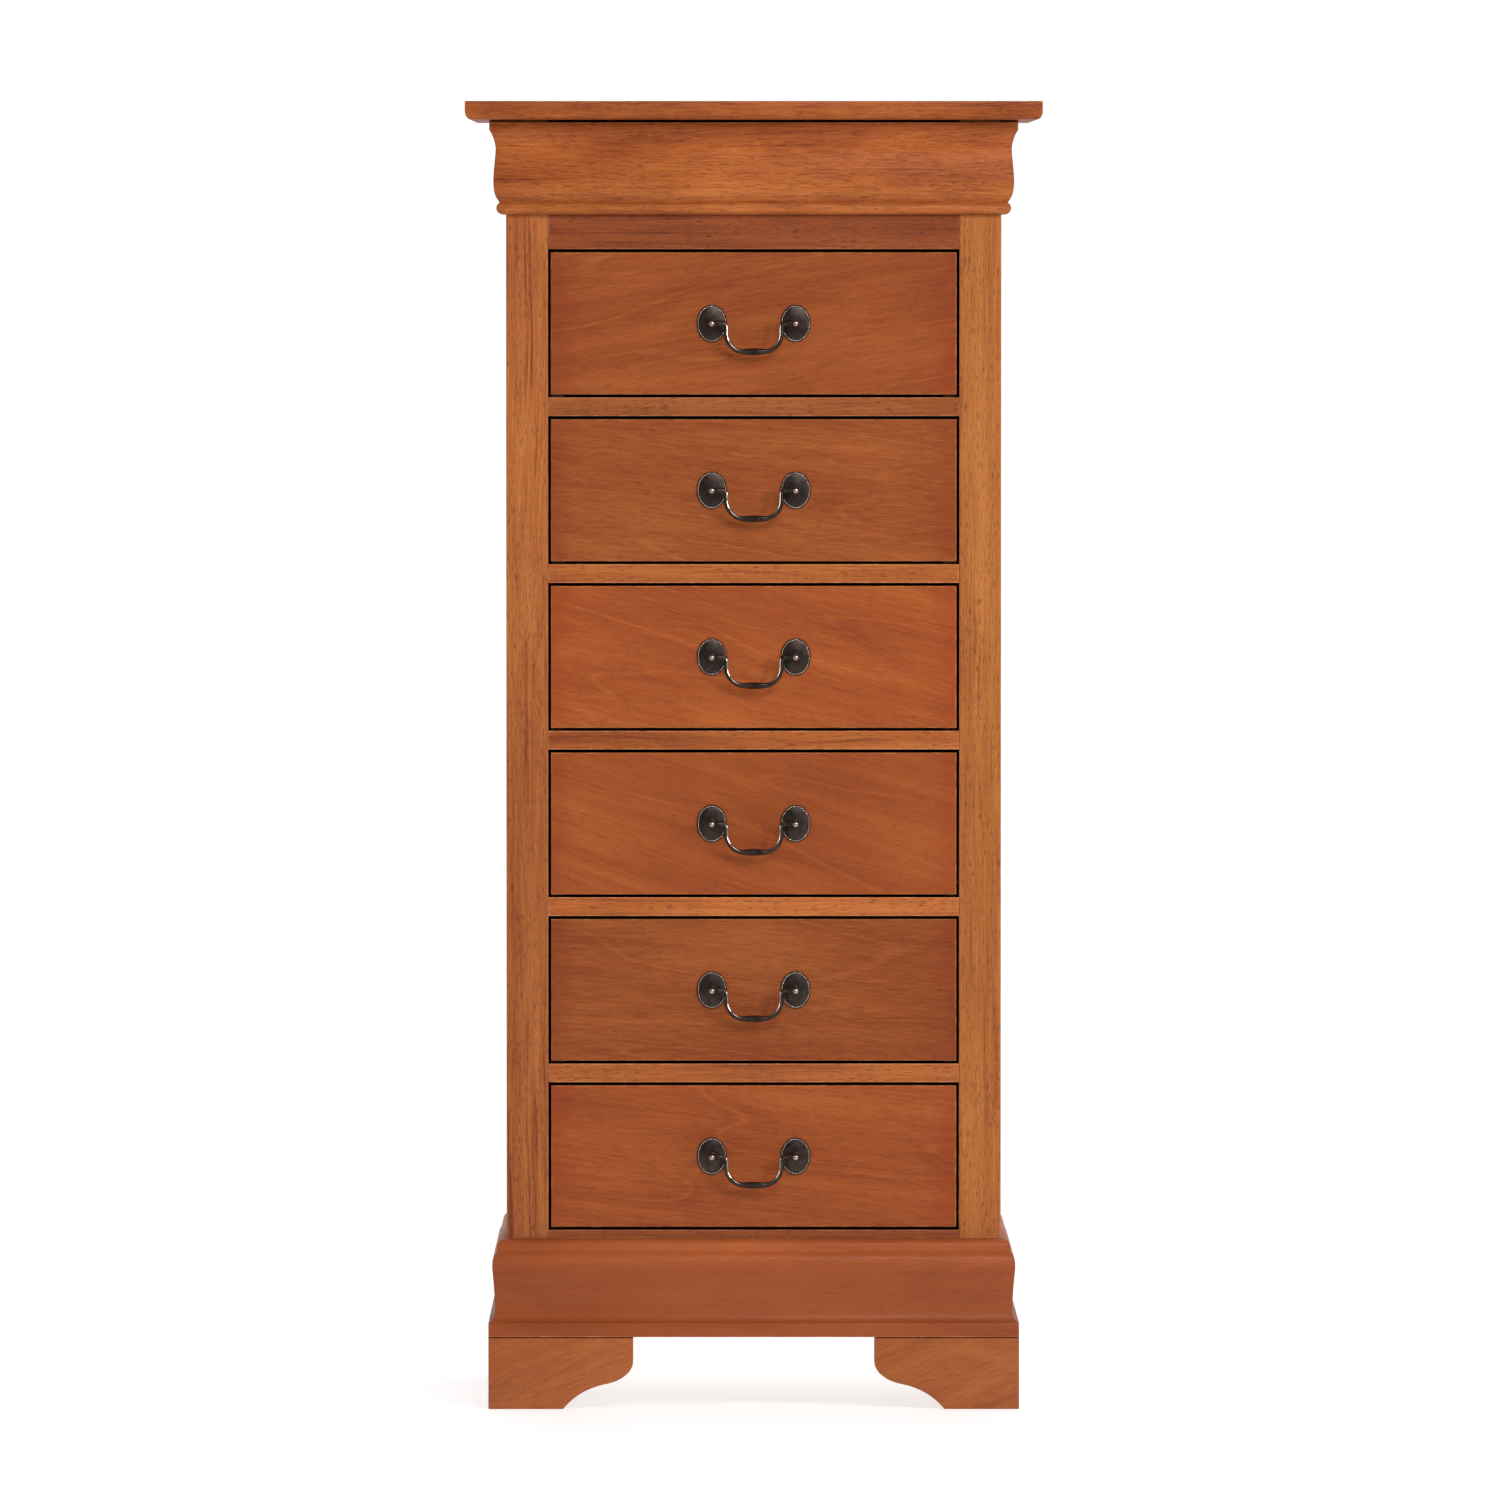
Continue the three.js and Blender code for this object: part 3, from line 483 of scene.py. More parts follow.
@dataclass(frozen=True)
class StainedWood:
    """Stained and lacquered wood: clouds, bands, streaks, figure, fibres, pores, and light lines
    along the edges that are part wear and part painted highlight.

    The shares say how strongly each shows in the colour. Lumps are counted a metre, and a range
    says where a noise starts to show and where it shows in full.
    """

    name: str
    light: Tint
    body: Tint
    dark: Tint
    pore: Tint = Tint(84, 38, 18)
    # The light colour along the edges: part wear, part painted highlight.
    wear_and_highlight: Tint = Tint(214, 142, 92)
    shaded: Tint = Tint(134, 48, 16)
    # The colour of painted shade in gaps and joints.
    painted_shade: Tint = Tint(28, 13, 8)
    cloud_share: float = 0.5
    band_share: float = 0.35
    streak_share: float = 0.3
    figure_share: float = 0.2
    line_share: float = 0.0
    fibre_share: float = 0.45
    pore_share: float = 0.5
    shade_share: float = 0.0
    lean: float = 0.0
    fibre_lean: float = 0.0
    clouds: Noise = Noise(7.0, 3.0, 0.55, 0.45)
    bands: Noise = Noise(55.0, 4.0, 0.6, 0.03)
    streaks: Noise = Noise(210.0, 2.0, 0.6, 0.02)
    streak_range: Point = (0.56, 0.72)
    hills: Noise = Noise(13.0, 1.0, 0.4, 0.12)
    hill_lines: float = 5.0
    line_width: float = 0.05
    fibres: Noise = Noise(520.0, 3.0, 0.7, 0.03)
    pores: Noise = Noise(1300.0, 1.0, 0.5, 0.08)
    pore_range: Point = (0.71, 0.79)
    pore_depth: float = 0.07 * MM
    crowd: Noise = Noise(110.0, 2.0, 0.5, 0.15)
    crowd_share: float = 0.25
    drift: Noise = Noise(3.5)
    wander: float = 0.012
    skin: Noise = Noise(160.0)
    skin_depth: float = 0.012 * MM
    spray: Noise = Noise(24.0)
    spray_reach: float = 0.04
    shade_width: float = 34 * MM
    wear: Noise = Noise(90.0, 4.0, 0.7)
    wear_range: Point = (0.42, 0.66)
    wear_width: float = 1.3 * MM
    wear_core: float = 0.3
    least_wear: float = 0.2
    broken_wear: float = 0.55
    ragged: Noise = Noise(60.0)
    ragged_reach: float = 6 * MM
    ragged_blur: float = 2 * MM
    roughness: float = 0.46
    pore_roughness: float = 0.25
    shine: float = 0.24
    lacquer: float = 0.03
    lacquer_roughness: float = 0.28
    bare: BareWood = BareWood()

    def material(self, cut: Cut) -> Material:
        """A material of this finish.

        Args:
            cut: The piece that it is for.

        Returns:
            The material.
        """
        board = NodeBoard(bpy.data.materials.new(f"{self.name}_{cut.label}"))
        along = cut.grain.leaning(self.lean * self.fibre_lean)
        straight = board.mapped(along, cut_from(cut.seed))
        leaning = board.mapped(cut.grain.leaning(self.lean), cut_from(cut.seed))
        pores, raised = self._pores(board, straight)
        colour = self._figure(board, straight, leaning, cut.tone)
        shown = board.maths("MULTIPLY", pores, self.pore_share)
        colour = board.mix(shown, colour, self.pore.linear(cut.tone))
        # Painted light: lighter between two heights.
        if cut.fade is not None:
            colour = cut.fade.paint_light(board, colour)
        # Light lines along the edges: part wear, part painted highlight.
        if cut.edges is not None:
            colour = self._rubbed(board, colour, cut.edges, cut.tone)
        values: dict[str, Fed] = {"Specular IOR Level": self.shine, "Coat Weight": self.lacquer}
        # Painted shade: inside the box the colour goes dark and the gloss goes, like the shade in a
        # gap or a joint.
        if cut.painted_shade_in is not None:
            x, y, z = board.inside(cut.painted_shade_in)
            nearest = board.maths("MINIMUM", board.maths("MINIMUM", x, y), z)
            painted_shade = board.between(nearest, 0.0, MM)
            colour = board.mix(painted_shade, colour, self.painted_shade.linear())
            unshaded = board.maths("SUBTRACT", 1.0, painted_shade)
            values = {name: board.maths("MULTIPLY", unshaded, gloss) for name, gloss in values.items()}
        if cut.stained_back_to is None:
            dull = board.maths("MULTIPLY_ADD", pores, self.pore_roughness, self.roughness)
        else:
            past = self._past_stain(board, straight, cut.stained_back_to)
            colour = board.mix(past, colour, self.bare.colour(board, straight))
            duller = self.bare.roughness - self.roughness
            dull = board.maths("MULTIPLY_ADD", past, duller, self.roughness)
        values |= {"Base Color": colour, "Roughness": dull, "Normal": raised}
        board.shade(values | {"Coat Roughness": self.lacquer_roughness})
        return board.owner

    def _figure(self, board: NodeBoard, straight: Socket, leaning: Socket, tone: float) -> Socket:
        """The colour without pores: clouds, bands, figure lines and fibres on one ramp.

        Args:
            board: The material's nodes.
            straight: The place that clouds, bands, streaks and fibres read.
            leaning: The place that the figure reads.
            tone: How light the piece is.

        Returns:
            The colour.
        """
        middle = (0.5, 0.5, 0.5)
        drift = board.vector("SUBTRACT", board.noise(straight, self.drift, 1), middle)
        drift = board.vector("MULTIPLY", drift, (self.wander, self.wander, self.wander))
        swayed = board.vector("ADD", straight, drift)
        value: Fed = 0.5
        for noise, share in (
            (self.clouds, self.cloud_share),
            (self.bands, self.band_share),
            (self.fibres, self.fibre_share),
        ):
            centred = board.maths("SUBTRACT", board.noise(swayed, noise), 0.5)
            value = board.maths("MULTIPLY_ADD", centred, 2 * share, value)
        hills = board.maths("MULTIPLY", board.noise(leaning, self.hills), self.hill_lines)
        steps = board.maths("FRACT", hills)
        lines = board.maths("ABSOLUTE", board.maths("SUBTRACT", steps, 0.5))
        centred = board.maths("SUBTRACT", lines, 0.25)
        value = board.maths("MULTIPLY_ADD", centred, self.figure_share, value)
        streaks = board.between(board.noise(swayed, self.streaks), *self.streak_range)
        value = board.maths("MULTIPLY_ADD", streaks, -self.streak_share, value)
        if self.line_share:
            thin = board.between(lines, self.line_width, 0.0)
            value = board.maths("MULTIPLY_ADD", thin, self.line_share, value)
        return board.ramp(value, (tint.linear(tone) for tint in (self.dark, self.body, self.light)))

    def _pores(self, board: NodeBoard, straight: Socket) -> tuple[Socket, Socket]:
        """Where the open pores are, and the normal that they and the lacquer's skin bend.

        Args:
            board: The material's nodes.
            straight: The place that they read.

        Returns:
            The share of pore at a point, and the normal.
        """
        dashes = board.noise(straight, self.pores)
        crowd = board.noise(straight, self.crowd)
        level = board.maths("MULTIPLY_ADD", crowd, self.crowd_share, dashes)
        pores = board.between(level, *self.pore_range)
        holes = board.bump(board.maths("SUBTRACT", 1.0, pores), self.pore_depth)
        return pores, board.bump(board.noise(straight, self.skin), self.skin_depth, holes)

    def _rubbed(self, board: NodeBoard, colour: Socket, box: Box, tone: float) -> Socket:
        """The colour of a board, redder at its ends, and with light broken lines along its edges,
        part wear and part painted highlight.

        Args:
            board: The material's nodes.
            colour: The colour so far.
            box: The board's box.
            tone: How light the piece is.

        Returns:
            The colour.
        """
        x, y, z = board.inside(box)
        if self.shade_share:
            spray = board.noise(board.place(), self.spray)
            uneven = board.maths("MULTIPLY_ADD", spray, self.spray_reach, x)
            middle = self.spray_reach / 2
            near = board.between(uneven, self.shade_width + middle, middle)
            share = board.maths("MULTIPLY", near, self.shade_share)
            colour = board.mix(share, colour, self.shaded.linear(tone))
        second = board.maths("MINIMUM", board.maths("MAXIMUM", x, y), z)
        from_edge = board.maths("MAXIMUM", board.maths("MINIMUM", x, y), second)
        near = board.between(from_edge, self.wear_width, self.wear_core * self.wear_width)
        broken = board.between(board.noise(board.place(), self.wear), *self.wear_range)
        thin = board.maths("MULTIPLY_ADD", broken, self.broken_wear, self.least_wear)
        return board.mix(board.maths("MULTIPLY", near, thin), colour, self.wear_and_highlight.linear(tone))

    def _past_stain(self, board: NodeBoard, straight: Socket, back: float) -> Socket:
        """How far a point lies past the stain's ragged end, from 0 in it to 1 on bare wood.

        Args:
            board: The material's nodes.
            straight: The place that the ragged end reads.
            back: How far back the stain reaches, in Y.

        Returns:
            The share.
        """
        depth = board.parts(board.place())[1]
        ragged = board.noise(straight, self.ragged)
        ragged = board.maths("MULTIPLY_ADD", ragged, self.ragged_reach, depth)
        edge = back + self.ragged_reach / 2
        return board.between(ragged, edge - self.ragged_blur, edge + self.ragged_blur)


@dataclass(frozen=True)
class Bronze:
    """Antique bronze: a dark skin, made bright and smooth where its points say so, part wear and
    part painted highlight.
    """

    name: str
    low: Tint = Tint(52, 43, 39)
    high: Tint = Tint(74, 62, 57)
    # The bright colour where the points say so: part wear, part painted highlight.
    rubbed: Tint = Tint(236, 214, 198)
    roughness: float = 0.3
    mottled_roughness: float = 0.12
    smoother: float = -0.23
    smooth_from: float = 0.35
    metallic: float = 0.92
    mottle: Noise = Noise(170.0, 4.0, 0.6)
    mottle_range: Point = (0.25, 0.8)
    grit: Noise = Noise(1020.0)
    grit_share: float = 0.5
    least_bright: float = 0.7
    cast: Noise = Noise(680.0, 3.0)
    cast_depth: float = 0.006 * MM
    mark: str = "rubbed"

    def material(self) -> Material:
        """A material of this finish.

        Returns:
            The material.
        """
        board = NodeBoard(bpy.data.materials.new(self.name))
        spot = board.place()
        mottle = board.noise(spot, self.mottle)
        tints = (self.low.linear(), self.high.linear())
        skin = board.ramp(board.between(mottle, *self.mottle_range), tints)
        share = board.node("Attribute", {}, attribute_name=self.mark).outputs["Fac"]
        grit = board.noise(spot, self.grit)
        broken = board.maths("MULTIPLY_ADD", grit, self.grit_share, self.least_bright)
        # Bright where the points say so: part wear, part painted highlight.
        bright = board.maths("MULTIPLY", board.maths("MULTIPLY", share, share), broken)
        dull = board.maths("MULTIPLY_ADD", mottle, self.mottled_roughness, self.roughness)
        wear_and_highlight = board.between(share, 0.0, self.smooth_from)
        smoother = board.maths("MULTIPLY", wear_and_highlight, self.smoother)
        board.shade(
            {
                "Base Color": board.mix(bright, skin, self.rubbed.linear()),
                "Roughness": board.maths("ADD", dull, smoother),
                "Metallic": self.metallic,
                "Normal": board.bump(board.noise(spot, self.cast), self.cast_depth),
            }
        )
        return board.owner


class Bench:
    """Hand tools: Blender's operators, used on what is picked in code."""

    @staticmethod
    def put_down() -> None:
        """Leave edit mode with nothing selected."""
        if bpy.context.object and bpy.context.object.mode != "OBJECT":
            bpy.ops.object.mode_set(mode="OBJECT")
        bpy.ops.object.select_all(action="DESELECT")

    @staticmethod
    def take(*pieces: Piece) -> None:
        """Select pieces and nothing else; the first is active.

        Args:
            pieces: The pieces.
        """
        Bench.put_down()
        for piece in pieces:
            piece.select_set(True)
        bpy.context.view_layer.objects.active = pieces[0]

    @staticmethod
    def edit(piece: Piece) -> None:
        """Go into edit mode on one piece, with all of it selected.

        Args:
            piece: The piece.
        """
        Bench.take(piece)
        bpy.ops.object.mode_set(mode="EDIT")
        bpy.ops.mesh.select_all(action="SELECT")

    @staticmethod
    def pick_edges(piece: Piece, wanted: Callable[[Vector, Vector], bool]) -> None:
        """Select, in edit mode, the edges whose two ends are wanted.

        Args:
            piece: The piece.
            wanted: Says from an edge's two ends whether it is picked.
        """
        bpy.ops.mesh.select_mode(type="EDGE")
        bpy.ops.mesh.select_all(action="DESELECT")
        shape = bmesh.from_edit_mesh(piece.data)
        for edge in shape.edges:
            if wanted(edge.verts[0].co, edge.verts[1].co):
                edge.select_set(True)
        bmesh.update_edit_mesh(piece.data)

    @staticmethod
    def block(name: str, box: Box) -> Piece:
        """A block that fills a box, with its place in its mesh.

        Args:
            name: The piece's name.
            box: Where it is.

        Returns:
            The piece.
        """
        Bench.put_down()
        bpy.ops.mesh.primitive_cube_add(size=1.0, location=box.middle, scale=box.high - box.low)
        piece = bpy.context.object
        piece.name = name
        Bench.set_in_mesh(piece)
        return piece

    @staticmethod
    def set_in_mesh(piece: Piece) -> None:
        """Put a piece's place, turn and size into its mesh."""
        Bench.take(piece)
        bpy.ops.object.transform_apply(location=True, rotation=True, scale=True)

    @staticmethod
    def modify(piece: Piece, kind: str, **settings: object) -> None:
        """Add a modifier to a piece and apply it.

        Args:
            piece: The piece.
            kind: The modifier, in Blender's word.
            settings: What is set on it.
        """
        Bench.take(piece)
        modifier = piece.modifiers.new(kind.lower(), kind)
        for name, value in settings.items():
            setattr(modifier, name, value)
        bpy.ops.object.modifier_apply(modifier=modifier.name)

    @staticmethod
    def ease_edges(piece: Piece, width: float, segments: int, angle: float = 40.0) -> None:
        """Round a piece's edges a little.

        Args:
            piece: The piece.
            width: How wide the rounding is.
            segments: How many faces go round it.
            angle: The least angle between faces, in degrees, that counts as an edge.
        """
        least = math.radians(angle)
        Bench.modify(
            piece,
            "BEVEL",
            width=width,
            segments=segments,
            limit_method="ANGLE",
            angle_limit=least,
        )

    @staticmethod
    def smooth(piece: Piece, angle: float = 32.0) -> None:
        """Shade a piece smooth, apart from edges sharper than an angle in degrees."""
        Bench.take(piece)
        bpy.ops.object.shade_smooth_by_angle(angle=math.radians(angle))

    @staticmethod
    def face_out(piece: Piece, merge: float = MERGE) -> None:
        """Merge a piece's doubled points and turn its faces out.

        Args:
            piece: The piece.
            merge: How near doubled points are.
        """
        Bench.edit(piece)
        bpy.ops.mesh.remove_doubles(threshold=merge)
        bpy.ops.mesh.normals_make_consistent(inside=False)
        bpy.ops.object.mode_set(mode="OBJECT")

    @staticmethod
    def join(name: str, pieces: list[Piece]) -> Piece:
        """Make several pieces one object under a name.

        Args:
            name: The name.
            pieces: The pieces.

        Returns:
            The joined piece.
        """
        Bench.take(*pieces)
        bpy.ops.object.join()
        pieces[0].name = name
        return pieces[0]

    @staticmethod
    def copy(piece: Piece, name: str) -> Piece:
        """A copy of a piece with its own mesh.

        Args:
            piece: The piece.
            name: The copy's name.

        Returns:
            The copy.
        """
        Bench.take(piece)
        bpy.ops.object.duplicate(linked=False)
        twin = bpy.context.object
        twin.name = name
        return twin

    @staticmethod
    def move(piece: Piece, by: Vector) -> None:
        """Move a piece, in its mesh."""
        piece.location = by
        Bench.set_in_mesh(piece)

    @staticmethod
    def turn(piece: Piece, angle: float, axis: int) -> None:
        """Turn a piece about an axis through the origin, in its mesh."""
        piece.rotation_euler[axis] = angle
        Bench.set_in_mesh(piece)

    @staticmethod
    def mirror(piece: Piece, axis: int) -> None:
        """Mirror a piece across the origin along an axis, and turn its faces out again.

        Args:
            piece: The piece.
            axis: 0, 1 or 2 for X, Y or Z.
        """
        piece.scale[axis] = -1
        Bench.set_in_mesh(piece)
        Bench.face_out(piece)

    @staticmethod
    def mark(piece: Piece, name: str, share: Callable[[Vector, Vector], float]) -> None:
        """Write a share on each of a piece's points, for its finish to read.

        Args:
            piece: The piece.
            name: What the share is called.
            share: Gives it from the point's place and the way that the piece faces there.
        """
        layer = piece.data.attributes.new(name, "FLOAT", "POINT")
        for vertex in piece.data.vertices:
            layer.data[vertex.index].value = share(vertex.co, vertex.normal)

    @staticmethod
    def saw(piece: Piece, point: Vector, towards: Vector) -> None:
        """Saw off what lies past a plane through a point, and close the cut.

        Args:
            piece: The piece.
            point: A point of the plane.
            towards: The plane's direction, towards the waste.
        """
        Bench.edit(piece)
        bpy.ops.mesh.bisect(
            plane_co=point, plane_no=towards, use_fill=True, clear_outer=True, threshold=MERGE
        )
        bpy.ops.object.mode_set(mode="OBJECT")


class OutlinePen:
    """Draws an outline by extruding one point along it, then makes it a board or a turning."""

    def __init__(
        self, name: str, start: Point, across: Place = (0, -1, 0), up: Place = (0, 0, 1)
    ) -> None:
        """Put the pen down.

        Args:
            name: The piece's name.
            start: The first point, across and up.
            across: The first direction of the drawing plane.
            up: The second direction of the drawing plane.
        """
        self.across = Vector(across)
        self.up = Vector(up)
        self.at = start
        Bench.put_down()
        bpy.ops.mesh.primitive_plane_add(size=MM, location=self._place(start))
        self.piece = bpy.context.object
        self.piece.name = name
        Bench.set_in_mesh(self.piece)
        Bench.edit(self.piece)
        bpy.ops.mesh.select_mode(type="VERT")
        bpy.ops.mesh.merge(type="CENTER")

    def _place(self, point: Point) -> Vector:
        """A point of the drawing in space."""
        return self.across * point[0] + self.up * point[1]

    def line(self, *points: Point) -> None:
        """Draw straight to one point after another, leaving out steps of no length.

        Args:
            points: The points, across and up.
        """
        for point in points:
            step = self._place(point) - self._place(self.at)
            if step.length > LEAST_STEP:
                bpy.ops.mesh.extrude_region_move(TRANSFORM_OT_translate={"value": step})
                self.at = point

    def arc(self, middle: Point, radii: Point, start: float, end: float, steps: int) -> None:
        """Draw part of an ellipse.

        Args:
            middle: Its middle.
            radii: Its radii across and up.
            start: The first angle, in degrees, from across towards up.
            end: The last angle.
            steps: How many straight steps make it.
        """
        for i in range(steps + 1):
            angle = math.radians(start + (end - start) * i / steps)
            across = middle[0] + radii[0] * math.cos(angle)
            self.line((across, middle[1] + radii[1] * math.sin(angle)))

    def bend(self, first: Point, second: Point, end: Point, steps: int) -> None:
        """Draw a Bezier curve from where the pen is.

        Args:
            first: The handle of the start.
            second: The handle of the end.
            end: Where it ends.
            steps: How many straight steps make it.
        """
        corners = (self.at, first, second, end)
        for i in range(1, steps + 1):
            t = i / steps
            weights = ((1 - t) ** 3, 3 * t * (1 - t) ** 2, 3 * t * t * (1 - t), t**3)
            self.line(tuple(sum(w * c[k] for w, c in zip(weights, corners)) for k in range(2)))

    def sweep_through(self, points: list[Point], steps: int) -> None:
        """Draw a smooth curve through points.

        Args:
            points: The points.
            steps: How many straight steps lie between two of them.
        """
        padded = [points[0], *points, points[-1]]
        self.line(points[0])
        for a, b, c, d in zip(padded, padded[1:], padded[2:], padded[3:]):
            for i in range(1, steps + 1):
                self.line(tuple(self._blend(a[k], b[k], c[k], d[k], i / steps) for k in range(2)))

    @staticmethod
    def _blend(a: float, b: float, c: float, d: float, t: float) -> float:
        """The smooth curve's value between b and c, with a before and d after them.

        Args:
            a: The value before b.
            b: The value at the start.
            c: The value at the end.
            d: The value after c.
            t: How far on from b to c, 0 to 1.

        Returns:
            The value there.
        """
        pull_b = (c - a) / 2
        pull_c = (d - b) / 2
        cubic = (2 * (b - c) + pull_b + pull_c) * t**3
        square = (3 * (c - b) - 2 * pull_b - pull_c) * t**2
        return cubic + square + pull_b * t + b

    def board(self, start: float, length: float) -> Piece:
        """Close the outline and extrude it square to the drawing.

        Args:
            start: Where the board starts, along up cross across.
            length: How long it is.

        Returns:
            The piece.
        """
        along = self.up.cross(self.across)
        bpy.ops.mesh.select_all(action="SELECT")
        bpy.ops.mesh.remove_doubles(threshold=10 * MERGE)
        bpy.ops.mesh.edge_face_add()
        bpy.ops.transform.translate(value=along * start)
        bpy.ops.mesh.extrude_region_move(TRANSFORM_OT_translate={"value": along * length})
        bpy.ops.object.mode_set(mode="OBJECT")
        Bench.face_out(self.piece)
        return self.piece

    def turning(self, steps: int) -> Piece:
        """Spin the outline about the up direction through the origin.

        Args:
            steps: How many faces go round.

        Returns:
            The piece.
        """
        bpy.ops.mesh.select_all(action="SELECT")
        bpy.ops.mesh.spin(steps=steps, angle=2 * math.pi, center=(0, 0, 0), axis=self.up)
        bpy.ops.object.mode_set(mode="OBJECT")
        Bench.face_out(self.piece, 10 * MERGE)
        return self.piece


def finish_piece(piece: Piece, body: str, material: Material, slot: str, *nodes: str) -> None:
    """Dress a new piece and say what it stands for.

    Args:
        piece: The piece.
        body: The CAD body that it rides on.
        material: Its finish, or its first one.
        slot: The record's material slot; not used.
        nodes: The CAD nodes that it replaces.
    """
    if piece.data.materials:
        piece.data.materials[0] = material
    else:
        piece.data.materials.append(material)
    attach(piece, body)
    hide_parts(*nodes)
    log.info("made %s in place of %s", piece.name, ", ".join(nodes))


def unfinished(part: str) -> Material:
    """A placeholder that keeps a material slot until the piece is dressed."""
    name = f"unfinished_{part}"
    return bpy.data.materials.get(name) or bpy.data.materials.new(name)


def dress(node: str, material: Material) -> None:
    """Give a CAD node a finish in place of its plain one.

    Args:
        node: The CAD node.
        material: Its finish.
    """
    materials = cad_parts[node].data.materials
    materials.clear()
    materials.append(material)
    log.info("dressed %s", node)


VENEER = StainedWood(
    name="veneer",
    light=Tint(173, 95, 43),
    body=Tint(150, 73, 29),
    dark=Tint(120, 49, 19),
    # A lighter painted shade on the drawer fronts' edges than in the case.
    painted_shade=Tint(98, 47, 23),
    band_share=0.3,
    streak_share=0.12,
    figure_share=0.34,
    line_share=0.2,
    pore_share=0.3,
    shade_share=0.4,
    fibre_lean=0.7,
    hill_lines=7.0,
    fibres=Noise(430.0, 3.0, 0.7, 0.1),
    shine=0.2,
)
POST_WOOD = StainedWood(
    name="post_wood",
    light=Tint(200, 122, 60),
    body=Tint(170, 92, 41),
    dark=Tint(126, 57, 21),
    cloud_share=0.4,
    band_share=0.45,
    streak_share=0.4,
    figure_share=0.1,
    fibre_share=0.55,
    pore_share=0.6,
)
GOLDEN_POST_WOOD = replace(
    POST_WOOD,
    name="golden_post_wood",
    light=Tint(200, 127, 63),
    body=Tint(170, 97, 43),
    dark=Tint(126, 61, 23),
    streak_share=0.26,
    fibre_share=0.4,
)
RAIL_WOOD = replace(
    POST_WOOD, name="rail_wood", body=Tint(170, 91, 39), streak_share=0.3, fibre_share=0.45
)
RED_RAIL_WOOD = replace(
    RAIL_WOOD,
    name="red_rail_wood",
    light=Tint(202, 113, 56),
    body=Tint(172, 84, 37),
    dark=Tint(128, 52, 20),
)
MOULDED_WOOD = StainedWood(
    name="moulded_wood",
    light=Tint(199, 113, 54),
    body=Tint(169, 87, 37),
    dark=Tint(122, 50, 22),
    cloud_share=0.62,
    band_share=0.3,
    streak_share=0.22,
    figure_share=0.14,
    fibre_share=0.56,
    clouds=Noise(17.0, 3.0, 0.55, 0.45),
    fibres=Noise(520.0, 3.0, 0.7, 0.07),
    shine=0.17,
    lacquer=0.015,
)
PLINTH_WOOD = StainedWood(
    name="plinth_wood",
    light=Tint(166, 84, 38),
    body=Tint(148, 70, 29),
    dark=Tint(118, 50, 20),
    cloud_share=0.72,
    band_share=0.3,
    streak_share=0.12,
    figure_share=0.42,
    line_share=0.1,
    fibre_share=0.2,
    pore_share=0.12,
    clouds=Noise(9.0, 3.0, 0.55, 0.45),
)
FOOT_WOOD = StainedWood(
    name="foot_wood",
    light=Tint(180, 102, 50),
    body=Tint(158, 84, 39),
    dark=Tint(130, 61, 28),
    cloud_share=0.4,
    band_share=0.3,
    streak_share=0.15,
    figure_share=0.25,
    line_share=0.15,
    fibre_share=0.4,
    pore_share=0.25,
    lean=math.radians(24),
    fibre_lean=0.8,
    fibres=Noise(520.0, 3.0, 0.7, 0.1),
)
BARE_WOOD = BareWood()
BACK_BOARD = BareWood(Tint(186, 146, 102), Tint(150, 110, 73), along=5.0, across=230.0)
ANTIQUE_BRONZE = Bronze("antique_bronze")


@dataclass
class TopBoard:
    """The top: square above but for a fine arris, and rounded under its front and sides."""

    node: str = "top_board"
    round_height: float = 8.6 * MM
    round_inset: float = 6.2 * MM
    round_steps: int = 10
    arris: float = 0.8 * MM
    arris_steps: int = 3
    tone: float = 0.84

    def build(self) -> Piece:
        """Model the board, squashed so that a round bevel becomes an upright oval one.

        Returns:
            The piece.
        """
        box = Box.of(self.node)
        squash = self.round_inset / self.round_height
        top = box.high.z
        low = Vector((box.low.x, box.low.y, top - (top - box.low.z) * squash))
        piece = Bench.block("top_with_rounded_edge", Box(low, box.high))
        Bench.edit(piece)
        rear = box.high.y - MM
        under = low.z + MM
        Bench.pick_edges(piece, lambda a, b: max(a.z, b.z) < under and min(a.y, b.y) < rear)
        bpy.ops.mesh.bevel(offset=self.round_inset, segments=self.round_steps, profile=0.5)
        bpy.ops.mesh.select_all(action="SELECT")
        bpy.ops.transform.resize(value=(1, 1, 1 / squash), center_override=(0, 0, top))
        Bench.pick_edges(piece, lambda a, b: min(a.z, b.z) > top - 10 * MERGE)
        bpy.ops.mesh.bevel(offset=self.arris, segments=self.arris_steps, profile=0.5)
        bpy.ops.object.mode_set(mode="OBJECT")
        Bench.smooth(piece)
        return piece

    def dress(self, piece: Piece) -> None:
        """Finish the board."""
        cut = Cut("top", Grain.ACROSS, Seed.TOP, self.tone, Box.of(self.node))
        finish_piece(piece, "case", MOULDED_WOOD.material(cut), "stained_wood", self.node)


@dataclass(frozen=True)
class MouldingOutline(ABC):
    """A moulding's outline, which has a bead and an ogee.

    The ogee's shares are of the projection, and of the height between its foot and its head.
    """

    ogee_foot: float
    ogee_head: float
    projection: float
    bead_projection: float
    bead_steps: int
    ogee_shares: tuple[Point, ...]
    ogee_steps: int = 6

    def draw(self, name: str, back: float, height: float) -> OutlinePen:
        """Draw the outline.

        Args:
            name: The piece's name.
            back: Where its back is, out from the case.
            height: Its height.

        Returns:
            The pen, at the end of the outline.
        """
        pen = OutlinePen(name, (back, 0.0))
        self._face(pen, height)
        pen.line((back, height))
        return pen

    @abstractmethod
    def _face(self, pen: OutlinePen, height: float) -> None:
        """Draw the face from the foot up.

        Args:
            pen: The pen.
            height: The moulding's height.
        """

    def _ogee(self, pen: OutlinePen) -> None:
        """Draw the ogee from its foot to its head.

        Args:
            pen: The pen.
        """
        rise = self.ogee_head - self.ogee_foot
        points = [(x * self.projection, self.ogee_foot + y * rise) for x, y in self.ogee_shares]
        pen.sweep_through(points, self.ogee_steps)


